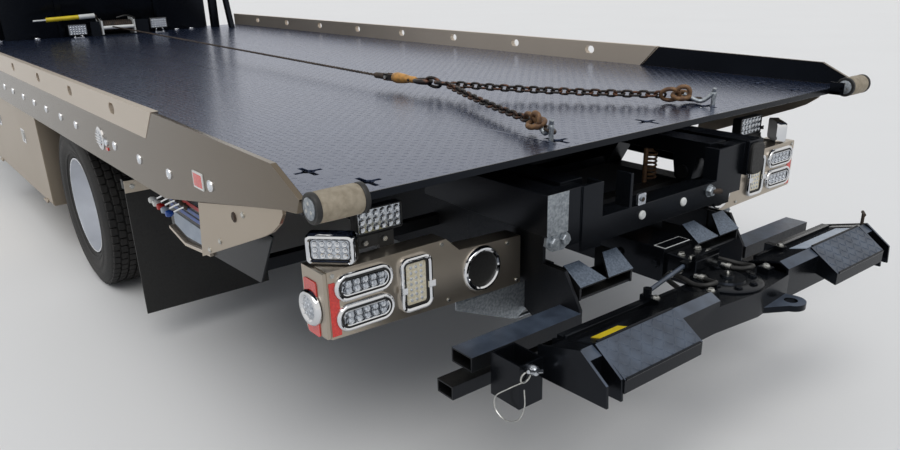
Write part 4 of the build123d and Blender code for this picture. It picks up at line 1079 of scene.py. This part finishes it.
def returnSpring(shape):
    # a rusted coil beside its post, standing on the crossmember behind the beam
    (x, y), foot = spring["centre"], spring["foot"]
    steps = spring["coils"] * 12
    route = [(a, b, foot + 4 + spring["height"] * step / steps) for step in range(steps + 1)
             for a, b in polygon(spring["radius"], 1, 2 * pi * step / 12, (x, y))]
    shape.tube(route, 4, rustyForging, around=8)
    shape.tube([(x - 6, y + 44, foot), (x - 6, y + 44, foot + 130)], 9, rustyForging, around=12)
    shape.tube([(x - 6, y + 44, foot + 122), (x, y, foot + 116)], 6, rustyForging)


print("tail and lift")
makePiece("tail_fittings", "subframe", tailFittings)
makePiece("return_spring", "chassis", returnSpring)


# wheel lift: the arm's front slope runs from ridge to front and its rear one from top to cover, as (x, z)
arm = {"ridge": (-396, 622), "front": (-290, 592), "cover": (-502, 561), "top": (-402, 627)}


def onSlope(x):
    # the height of the arm's forward-facing slope at x
    (x0, z0), (x1, z1) = arm["ridge"], arm["front"]
    return z0 + (x - x0) * (z1 - z0) / (x1 - x0)


def sticker(shape, x0, x1, y0, y1, material):
    # a blank plate on the slope: a thin slab with a raised middle
    for inset, lift in ((0, 1.2), (4, 1.8)):
        corners = [(x, y) for x, y in ((x0 + inset, y0 + inset), (x1 - inset, y0 + inset),
                                       (x1 - inset, y1 - inset), (x0 + inset, y1 - inset))]
        rings = [[(x, y, onSlope(x) + rise) for x, y in corners] for rise in (0, lift)]
        shape.loft(rings, material, material)


coverTread = {"rows": 5, "rowStart": 13, "rowPitch": 23.5, "columns": 14, "start": 388, "columnPitch": 22.8}


def coverSpots():
    # lozenges in a basket pattern down both sloping covers
    (x0, z0), (x1, z1) = arm["top"], arm["cover"]
    slope = Matrix.Rotation(-atan2(z0 - z1, x0 - x1), 3, "Y")
    length = hypot(x0 - x1, z0 - z1)
    spots = []
    for side in (1, -1):
        for row in range(coverTread["rows"]):
            for column in range(coverTread["columns"]):
                share = (coverTread["rowStart"] + row * coverTread["rowPitch"]) / length
                y = side * (coverTread["start"] + column * coverTread["columnPitch"])
                lean = Matrix.Rotation(radians(45 if (row + column) % 2 else -45), 3, "Z")
                turn = [degrees(a) for a in (slope @ lean).to_euler()]
                spots.append(((x0 - share * (x0 - x1), y, z0 - share * (z0 - z1)), turn))
    return spots


hub = {"x": -330, "top": 593, "boltCircle": 84, "bolts": 8}


def hubTop(shape):
    # the swivel's bolted cover, grease nipple and stop blocks
    x, z = hub["x"], hub["top"]
    cover = [(112, -8), (112, -3), (106, 0), (60, 0), (56, 6), (22, 6), (20, 13), (0, 14)]
    shape.lathe(cover, "z", (x, 0, z), blackEnamel, around=48)
    circle = facing(polygon(hub["boltCircle"], hub["bolts"], 0.2, (x, 0)), z, "z")
    bolts(shape, circle, "z", 19, 8, blackEnamel, washer=28)
    shape.lathe([(5, 13), (5, 21), (3, 25), (0, 26)], "z", (x, 0, z), zincPlate, around=12)
    for y in (150, -150):
        shape.block(-392, -352, y - 16, y + 16, 585, 606, blackEnamel)
        bolts(shape, [(-372, y, 606)], "z", 19, 9, zincPlate, washer=26)
    bolts(shape, [(x, y, 642) for y in (44, -44) for x in (-185, -228)], "z", 19, 10, zincPlate, washer=26)


# hoses as (y, z of the port, reach of the bend, x of the union)
hoses = ((72, 600, 26, -200), (84, 578, 34, -170), (-72, 600, 26, -200))


def hubHose(shape, y, z, bend, union):
    # a hose that loops from the swivel's port to a union on the side of the inner boom
    way = 1 if y > 0 else -1
    port = [(0, -300), (13, -298), (13, -282), (9, -280), (9, -262), (0, -260)]
    shape.lathe(port, "x", (0, y, z), zincPlate, around=12)
    hose = [(-298, y, z), (-330, y + way * 10, z + 4), (-352, y + way * bend, z + 12),
            (-338, y + way * bend * 2, z + 6), (-300, y + way * bend * 2.2, z - 2),
            (-250, y + way * bend * 1.8, z), (union - 14, way * 112, z), (union, way * 94, z),
            (union, way * 74, z)]
    shape.tube(curve(hose), 8, flapRubber)
    nut = [(0, way * 60), (12, way * 60), (12, way * 70), (9.5, way * 72), (9.5, way * 84), (0, way * 84)]
    shape.lathe(nut, "y", (union, 0, z), zincPlate, around=12)


rodEnds = {"arm": (-280, 334, 626), "head": (-226, 82, 628)}


def lockRod(shape):
    # the lock rod from the left arm's end block to a lug on the boom's head
    # the rod is given the painted blue-grey sky sheen
    shape.tube([rodEnds["arm"], rodEnds["head"]], 7, skySheenEnamel, around=12)
    shape.lathe([(0, -14), (13, -14), (13, 12), (0, 13)], "z", rodEnds["arm"], blackEnamel, around=16)
    x, y, z = rodEnds["head"]
    shape.block(x - 14, x + 12, y - 21, y + 10, z - 11, z + 12, blackEnamel)
    shape.block(x - 26, x - 12, -64, 64, z + 14, z + 28, blackEnamel)


def armFittings(shape):
    # rolled edges along the arm, a flat bar along its upper front corner with its end block, the pads' bolts
    (topX, topZ), (lowX, lowZ) = arm["top"], arm["cover"]
    for x, z in ((topX + 2, topZ + 1), (lowX + 1, lowZ)):
        shape.tube([(x, 380, z), (x, 690, z)], 4, blackEnamel, around=8)
    shape.block(-292, -270, 340, 700, 592, 604, blackEnamel)
    shape.block(-330, -262, 322, 346, 588, 616, blackEnamel)
    bolts(shape, [(-312, 334, 616)], "z", 17, 8, zincPlate, washer=24)
    bolts(shape, [(-270, y, 572) for y in (430, 640)], "x", 19, 8, zincPlate, washer=26)


def socketPin(shape):
    # a quick-release pin through the socket, its handle and the wire that keeps it
    knob = [(0, -268), (13, -270), (15, -292), (11, -300), (0, -302)]
    shape.lathe(knob, "x", (0, 802, 537), ledSilver, around=18)
    shape.tube([(-296, 780, 530), (-296, 830, 546)], 5.5, ledSilver)
    ovalRing(shape, placed((-283, 828, 524), pitch=80), 34, 34, 2.5, zincPlate, around=6, steps=16)
    wire = [(-283, 836, 512), (-250, 858, 486), (-214, 872, 452), (-216, 874, 414), (-252, 872, 396),
            (-292, 862, 410), (-306, 852, 452), (-298, 846, 500)]
    shape.tube(curve(wire, 8), 1.8, zincPlate, around=6)
    # the tee handle that stands on the right-hand end
    shape.tube([(-392, -744, 600), (-392, -744, 662)], 6, castIron)
    shape.tube([(-404, -726, 662), (-380, -762, 662)], 5.5, castIron)


def liftFittings(shape):
    hubTop(shape)
    for hose in hoses:
        hubHose(shape, *hose)
    lockRod(shape)
    sticker(shape, -394, -350, 548, 655, yellowLabel)
    sticker(shape, -392, -332, -678, -360, paleLabel)
    socketPin(shape)


boomTop = {"rear": -137, "front": -92, "half": 66, "face": 655, "padBolts": (-110, 40, 400),
           "padSide": 75, "padHeight": 600}


def boomPlate(shape):
    # a blank outlined plate on the boom's top, and the bolts of its slide pads
    rear, front, half, z = (boomTop[key] for key in ("rear", "front", "half", "face"))
    shape.block(rear, front, -half, half, z, z + 1.2, whiteEnamel)
    shape.block(rear + 3, front - 3, 3 - half, half - 3, z + 1.2, z + 1.8, blackEnamel)
    for way, axis in ((1, "y"), (-1, "-y")):
        spots = [(x, way * boomTop["padSide"], boomTop["padHeight"]) for x in boomTop["padBolts"]]
        bolts(shape, spots, axis, 24, 10, blackEnamel, washer=34)


makePiece("lift_fittings", "boom_extension", liftFittings)
makePiece("arm_edges", "boom_extension", armFittings, "both")
# the cover lozenges carry the painted blue-grey sky sheen
stampedPiece("cover_tread", "boom_extension", lozenge(15, 4.5, 7, 2.2, skySheenEnamel), coverSpots(),
             skySheenEnamel, smooth=0)
makePiece("boom_plate", "boom", boomPlate)

# the lever panel behind the skirt
levers = {"rear": 1180, "face": 1186, "knobs": (whiteEnamel, whiteEnamel, redPlastic, paleLabel, bluePlastic),
          "first": (1310, 744), "pitch": (44, 3),
          "stripes": ((764, 776, redPlastic), (738, 750, bluePlastic), (716, 726, bluePlastic))}


def leverPanel(shape):
    y = levers["face"]
    plate = [(400, 820), (1300, 830), (1300, 640), (1150, 610), (520, 640)]
    shape.prism(plate, levers["rear"], y, "y", blackEnamel)
    label = [(880, 692), (1262, 702), (1262, 652), (1150, 628), (930, 638)]
    shape.prism(label, y, y + 1.5, "y", paleLabel)
    for z0, z1, material in levers["stripes"]:
        shape.prism([(860, z0 - 7), (1280, z1 - 7), (1280, z1 + 7), (860, z0 + 7)], y, y + 2, "y", material)
    edge = [(905, 633), (1150, 606), (1305, 636), (1305, 624), (1150, 594), (900, 621)]
    shape.prism(edge, y - 14, y + 12, "y", millAluminium)
    for k, material in enumerate(levers["knobs"]):
        x, z = levers["first"][0] - levers["pitch"][0] * k, levers["first"][1] - levers["pitch"][1] * k
        shape.tube([(x - 30, y, z + 22), (x - 10, y + 20, z + 12), (x, y + 46, z)], 4, chrome, around=8)
        knob = [(0, 40), (7, 41), (12, 50), (13, 60), (10, 68), (0, 71)]
        shape.lathe(knob, "y", (x, y, z), material, around=16)
        boss = [(0, 0), (14, 0), (14, 10), (9, 16), (0, 16)]
        shape.lathe(boss, "y", (x - 30, levers["rear"], z + 22), castIron, around=16)


makePiece("lever_panel", "chassis", leverPanel, stands=("control_panel",))


# cab, hood and the rest of the chassis
headlamp = {"face": 9045, "rear": 9002, "under": 930, "top": 1060, "inner": 690, "outer": 1040,
            "reflectors": (72, 196)}


def lampFace(shape):
    # a headlamp: two reflectors behind clear lenses with a turn lamp on its outer side
    x, z0, z1, y0, y1 = (headlamp[key] for key in ("face", "under", "top", "inner", "outer"))
    y, z = (y0 + y1) / 2, (z0 + z1) / 2
    shape.block(headlamp["rear"], x - 12, y0, y1, z0, z1, blackPlastic)
    for reach in headlamp["reflectors"]:
        centre = (x, y0 + reach, z)
        shape.lathe([(52, -12), (51, -2), (44, -9), (24, -11.5), (0, -11.8)], "x", centre, chrome)
        shape.lathe([(19, -11), (19, -5), (13, -2), (0, -1)], "x", centre, clearLens, around=24)
    shape.block(x - 12, x - 3, y1 - 78, y1 - 8, z0 + 14, z1 - 14, amberLens)
    outer, inner = rounded(y, z, y1 - y0, z1 - z0, 10, 3), rounded(y, z, y1 - y0 - 14, z1 - z0 - 14, 6, 3)
    shape.loft([facing(outer, x - 12), facing(outer, x - 1), facing(inner, x), facing(inner, x - 9)], chrome)


grille = {"front": 9069, "half": 424, "under": 860, "barPitch": 45, "bars": 8, "meshPitch": 21}


def grilleBars(shape):
    # plated bars across the openings in the hood's front, a fine mesh behind them and a dark baffle
    x, half, z0, pitch = (grille[key] for key in ("front", "half", "under", "meshPitch"))
    for k in range(grille["bars"]):
        low = z0 + k * grille["barPitch"] + 29
        shape.block(x - 13, x, -half, half, low, low + 15, chrome)
    for y in (-half - 6, half - 2):
        shape.block(x - 17, x, y, y + 8, z0 - 8, z0 + 356, chrome)
    for k in range(-20, 21):
        shape.block(x - 23, x - 21, k * pitch - 1, k * pitch + 1, z0 - 4, z0 + 352, blackPlastic)
    shape.block(x - 33, x - 29, -half, half, z0 - 4, z0 + 352, flapRubber)
    for k in range(17):
        shape.block(x - 25, x - 23, -half, half, z0 + k * pitch, z0 + k * pitch + 2, blackPlastic)


latch = {"x": (7790, 7830), "side": 838, "top": 1280}


def hoodLatches(shape):
    # rubber pull-down latches at the hood's rear corners
    (rear, front), y, z = latch["x"], latch["side"], latch["top"]
    for x in (rear, front):
        shape.tube(curve([(x, y, z), (x, y + 14, z - 18), (x, y + 12, z - 50)]), 7, flapRubber, around=8)
    shape.block(rear - 10, front + 10, y - 12, y + 8, z - 58, z - 44, zincPlate)


roofLamps = {"x": 7146, "under": 2314, "sides": (0, 180, -180, 640, -640)}


def cabLamps(shape):
    # amber domes in chrome bases along the roof's front
    for y in roofLamps["sides"]:
        centre = (roofLamps["x"], y, roofLamps["under"])
        shape.lathe([(46, 4), (44, 38), (30, 49), (0, 53)], "z", centre, amberLens, around=24)
        shape.lathe([(52, 0), (52, 29), (46, 31)], "z", centre, chrome, around=24)


# an arm's foot stands at each pivot's y, and reach runs from there to the blade's tip
wiper = {"pivots": (560, -60), "foot": (7722, 0, 1602), "reach": (-282, -330, 408)}


def wiperBlades(shape):
    # arms from the cowl, lying just off the sloping glass
    for y in wiper["pivots"]:
        foot = Vector(wiper["foot"]) + Vector((0, y, 0))
        tip = foot + Vector(wiper["reach"])
        off = Vector((12, 0, 8))
        shape.lathe([(0, -10), (17, -9), (17, 4), (8, 12), (0, 13)], "z", foot, blackPlastic, around=14)
        wiperArm = [foot + off, foot.lerp(tip, 0.5) + off, foot.lerp(tip, 0.72) + off]
        shape.tube(wiperArm, 6, blackPlastic, around=8)
        blade = [foot.lerp(tip, 0.42) + off * 0.6 + Vector((0, 60, 0)), tip + off * 0.6]
        shape.tube(blade, 5, flapRubber, around=8)


door = {"side": 1031, "handle": (6800, 1330), "mirror": (1177, 1730)}


def doorFittings(shape):
    # handle in its dish, lock, and the outside mirror's housing and glass
    y = door["side"]
    x, z = door["handle"]
    shape.prism(rounded(x, z, 170, 62, 18, 3), y - 1, y + 3, "y", blackPlastic)
    handle = [(x - 65, y + 3, z + 6), (x - 55, y + 20, z + 8), (x + 50, y + 20, z + 8),
              (x + 62, y + 3, z + 6)]
    shape.tube(handle, 9, chrome)
    shape.lathe([(13, 0), (13, 4), (0, 5)], "y", (x, y, 1270), zincPlate, around=16)
    shape.prism(rounded(*door["mirror"], 158, 380, 16, 3), 7281, 7285, "x", chrome)
    housing = [(7280, 1538), (7335, 1538), (7352, 1560), (7352, 1902), (7335, 1922), (7280, 1922)]
    shape.prism(housing, 1086, 1269, "y", blackPlastic)


grabRail = {"x": 6600, "side": 1026, "reach": 40, "ends": (1180, 1580)}
hinges = {"x": 7498, "side": 1042, "heights": (1100, 1440)}


def cabSide(shape):
    # grab rail behind the door, and the hinge bolts
    x, y, (low, high) = grabRail["x"], grabRail["side"], grabRail["ends"]
    out = y + grabRail["reach"]
    rail = [(x, y, low), (x, out, low + 20), (x, out, high - 20), (x, y, high)]
    shape.tube(curve(rail, 4), 14, chrome, around=12)
    for z in hinges["heights"]:
        for shift, lift in ((-4, -10), (4, 10)):
            spot = (hinges["x"] + shift, hinges["side"], z + lift)
            shape.lathe([(5, 0), (5, 3), (0, 4)], "y", spot, zincPlate, around=10)


tank = {"centre": (840, 600), "strap": 198, "straps": (6560, 6950, 7340), "step": 821.5}


def tankFittings(shape):
    # straps round the tank, a filler cap, and punched treads on the step plate
    for x in tank["straps"]:
        for shift in (-14, 0, 14):
            ring = facing(polygon(tank["strap"], 48, centre=tank["centre"]), x + shift)
            shape.tube(ring, 5, stainless, around=6, closed=True)
    shape.lathe([(62, 780), (62, 806), (54, 814), (0, 815)], "z", (7380, 860, 0), chrome, around=28)
    for x in range(6510, 7400, 48):
        for y in (860, 930, 1000, 1062):
            shape.prism(rounded(x, y, 30, 26, 8, 2), tank["step"], tank["step"] + 2.5, "z", zincPlate)


toolbox = {"side": 1262, "latches": (3640, 4420), "lid": 825}


def boxFittings(shape):
    # paddle latches in chrome dishes with their locks, and the bolted strip along the box's top
    y = toolbox["side"]
    for x in toolbox["latches"]:
        shape.prism(rounded(x, 640, 110, 84, 12, 3), y, y + 2.5, "y", chrome)
        shape.prism(rounded(x, 646, 60, 46, 8, 3), y + 2.5, y + 6, "y", zincPlate)
        shape.lathe([(7, 2), (7, 7), (0, 7.5)], "y", (x, y, 615), chrome, around=12)
    strip = [(x, y - 8, toolbox["lid"]) for x in range(3230, 4860, 130)]
    bolts(shape, strip, "z", 12, 5, zincPlate, washer=18)


rearAxle = {"x": 2610, "z": 421.5, "boltReach": 85, "springSides": (484, 556), "drumRibs": (685, 715, 745)}


def springBolts(shape):
    # U-bolts over the rear springs, with their nuts beneath
    low, high = rearAxle["springSides"]
    for x in (rearAxle["x"] - rearAxle["boltReach"], rearAxle["x"] + rearAxle["boltReach"]):
        for y in (low, high):
            shape.tube([(x, y, 380), (x, y, 548)], 9, zincPlate)
            bolts(shape, [(x, y, 381)], "-z", 26, 14, zincPlate, washer=34)
        shape.tube([(x, low, 548), (x, high, 548)], 9, zincPlate)
    shape.block(rearAxle["x"] - 110, rearAxle["x"] + 110, low - 14, high + 14, 372, 382, castIron)


def brakeDrums(shape):
    # ribs cast round the brake drum
    for y in rearAxle["drumRibs"]:
        rib = [(205, 0), (211, 4), (211, 12), (205, 16)]
        shape.lathe(rib, "y", (rearAxle["x"], y, rearAxle["z"]), castIron, around=48)


print("cab and chassis")
makePiece("headlamp_set", "hood", lampFace, "both", stands=("headlamps",))
makePiece("hood_latches", "hood", hoodLatches, "both")
makePiece("cab_grab_rails", "chassis", cabSide, "both")
makePiece("tank_fittings", "chassis", tankFittings, "both")
makePiece("spring_bolts", "chassis", springBolts, "both")
makePiece("grille_bars", "hood", grilleBars)
makePiece("roof_lamps", "chassis", cabLamps)
makePiece("wipers", "chassis", wiperBlades)
for side in ("left", "right"):
    makePiece("door_fittings_" + side, "door_" + side, doorFittings, side)
    makePiece("box_latches_" + side, "toolbox_door_" + side, boxFittings, side)
    makePiece("drum_ribs_" + side, "rear_wheels_" + side, brakeDrums, side)

# finishes of the CAD nodes, each with its width of broken edge in mm
dressing = {
    "chassis_frame": (chassisPaint, 2.0), "axles": (castIron, 2.0), "knuckle_left": (castIron, 2.0),
    "knuckle_right": (castIron, 2.0), "engine_driveline": (castIron, 3.0), "cab_shell": (blackEnamel, 6.0),
    "door_left": (blackEnamel, 3.0), "door_right": (blackEnamel, 3.0), "cab_interior": (cabVinyl, 8.0),
    "hood_shell": (blackEnamel, 5.0), "front_bumper": (chrome, 4.0), "fuel_tanks": (polishedAluminium, 3.0),
    "subframe": (blackEnamel, 2.0), "tilt_barrels": (blackEnamel, 1.5), "tilt_rods": (chrome, 1.0),
    "deck_floor": (deckPlate, 1.0), "deck_frame": (blackEnamel, 1.5), "side_rails": (stainless, 1.0),
    "headboard": (blackEnamel, 2.0), "winch": (blackEnamel, 2.0), "tail_lamp_panels": (stainlessPanel, 0.8),
    "side_toolboxes": (stainlessPaintedLit, 1.0), "toolbox_door_left": (stainlessPaintedLit, 1.0),
    "toolbox_door_right": (stainlessPaintedLit, 1.0), "mudflaps": (flapRubber, 1.0),
    "boom_outer": (blackEnamel, 2.0), "boom_inner": (blackEnamel, 2.0), "crossbar": (blackEnamel, 2.0),
    "front_rim_left": (polishedAluminium, 1.0), "front_rim_right": (polishedAluminium, 1.0),
    "rear_rims_left": (polishedAluminium, 1.0), "rear_rims_right": (polishedAluminium, 1.0),
}


def repaint(node, material, wanted):
    # wanted is asked of each face's middle in mm, with y unsigned, of its normal, and if it is on the left
    mesh = bpy.data.objects[node + "_finished"].data
    mesh.materials.append(material)
    for face in mesh.polygons:
        x, y, z = (face.center.x - tailEdge) * 1000, face.center.y * 1000, face.center.z * 1000
        if wanted(x, abs(y), z, face.normal, y > 0):
            face.material_index = len(mesh.materials) - 1


print("dressing the CAD pieces")
for node, (material, bevel) in dressing.items():
    dress(node, material, bevel)
# the top rail is a bare extrusion, and the band's tail takes the gusset's dull stainless, painted pale as lit
repaint("side_rails", millAluminium, lambda x, y, z, normal, left: z > deckTop + 2 and x > 1010)
repaint("side_rails", stainlessPaintedLit,
        lambda x, y, z, normal, left: x < 720 and z < 962 and deckSide - 16 < y < deckSide - 1)
# the left wear block is rubbed bare
repaint("subframe", galvanised,
        lambda x, y, z, normal, left: left and x < -60 and y > 464 and normal.x < -0.8)
# the pockets' sloping mouths are scuffed and the lamp panels' lower gussets galvanised
repaint("chassis_frame", scuffedEnamel,
        lambda x, y, z, normal, left: x < -20 and 600 < z < 665 and 160 < y < 440 and normal.z > 0.5)
repaint("tail_lamp_panels", galvanised, lambda x, y, z, normal, left: x > 131 and y < 740 and z < 560)
# low tubes, and the crossbar's rear faces, are given the painted blue-grey sky sheen where they face up
repaint("chassis_frame", skySheenEnamel,
        lambda x, y, z, normal, left: x < 0 and 500 < z < 560 and y > 440 and normal.z > 0.7)
repaint("crossbar", skySheenEnamel, lambda x, y, z, normal, left: x < -400 and normal.z > 0.7)
for node in ("cab_glass", "door_glass_left", "door_glass_right"):
    for slot in frame["nodes"][node].material_slots:
        slot.material = glass

# stage, light and camera
camera = {"place": (-5.864, 2.053, 1.539), "yaw": -37.578, "pitch": -21.869, "roll": -1.516,
          "focal": 764.8, "widthPixels": 900, "horizonShift": 45.5}
studio = {"floor": ("e4e2de", "e8e6e2"), "sky": "dfe6f2", "skyStrength": 0.62, "backdrop": "f0efed",
          "sunEnergy": 1.5, "sunAngle": 50}


def setCamera():
    yaw, pitch, roll = (radians(camera[key]) for key in ("yaw", "pitch", "roll"))
    ahead = Vector((cos(pitch) * cos(yaw), cos(pitch) * sin(yaw), sin(pitch)))
    right = ahead.cross(Vector((0, 0, 1))).normalized()
    up = right.cross(ahead)
    right, up = (cos(roll) * right + sin(roll) * up, cos(roll) * up - sin(roll) * right)
    data = bpy.data.cameras.new("photo_camera")
    data.sensor_width = 36
    data.lens = camera["focal"] / camera["widthPixels"] * data.sensor_width
    data.shift_y = camera["horizonShift"] / camera["widthPixels"]
    data.clip_end = 200
    eye = bpy.data.objects.new("photo_camera", data)
    eye.matrix_world = Matrix.Translation(camera["place"]) @ Matrix((right, up, -ahead)).transposed().to_4x4()
    bpy.context.scene.collection.objects.link(eye)
    bpy.context.scene.camera = eye


def paleFloor():
    # a smooth pale studio floor
    material, tree, shader, place = newSurface("studio_floor", {"Roughness": 0.6})
    cloud = addNode(tree, "ShaderNodeTexNoise", {"Scale": 0.6, "Vector": place})
    low, high = studio["floor"]
    mix = addNode(tree, "ShaderNodeMix", {0: cloud.outputs["Fac"], 6: linear(low), 7: linear(high)},
                  data_type="RGBA")
    tree.links.new(mix.outputs[2], shader.inputs["Base Color"])
    shape = Shape()
    shape.block(-60000, 70000, -60000, 60000, -10, 0, material)
    mesh = closeShape(shape, "studio_floor", toFrame, 0.01)
    mesh.materials.append(material)
    floor = bpy.data.objects.new("studio_floor", mesh)
    bpy.context.scene.collection.objects.link(floor)


def lights():
    # the backdrop is white where the camera or a reflection sees it, and a dimmer blue-grey sky for the rest
    world = bpy.data.worlds.new("studio")
    bpy.context.scene.world = world
    world.use_nodes = True
    tree = world.node_tree
    tree.nodes.clear()
    ray = addNode(tree, "ShaderNodeLightPath").outputs
    direct = addNode(tree, "ShaderNodeMath", {0: ray["Is Camera Ray"], 1: ray["Is Transmission Ray"]},
                     operation="MAXIMUM")
    seen = addNode(tree, "ShaderNodeMath", {0: direct.outputs[0], 1: ray["Is Glossy Ray"]},
                   operation="MAXIMUM")
    sky = addNode(tree, "ShaderNodeBackground",
                  {"Color": linear(studio["sky"]), "Strength": studio["skyStrength"]})
    backdrop = addNode(tree, "ShaderNodeBackground", {"Color": linear(studio["backdrop"]), "Strength": 1.0})
    mix = addNode(tree, "ShaderNodeMixShader",
                  {0: seen.outputs[0], 1: sky.outputs[0], 2: backdrop.outputs[0]})
    addNode(tree, "ShaderNodeOutputWorld", {"Surface": mix.outputs[0]})
    # a broad sun behind cloud, so that shadows are soft and the floor evenly lit
    data = bpy.data.lights.new("soft_sun", "SUN")
    data.energy = studio["sunEnergy"]
    data.angle = radians(studio["sunAngle"])
    lamp = bpy.data.objects.new("soft_sun", data)
    lamp.rotation_euler = Vector((0.45, -0.35, -1)).to_track_quat("-Z", "Y").to_euler()
    bpy.context.scene.collection.objects.link(lamp)


print("camera, floor and light")
setCamera()
paleFloor()
lights()
bpy.context.scene.view_settings.view_transform = "Standard"
bpy.context.view_layer.update()
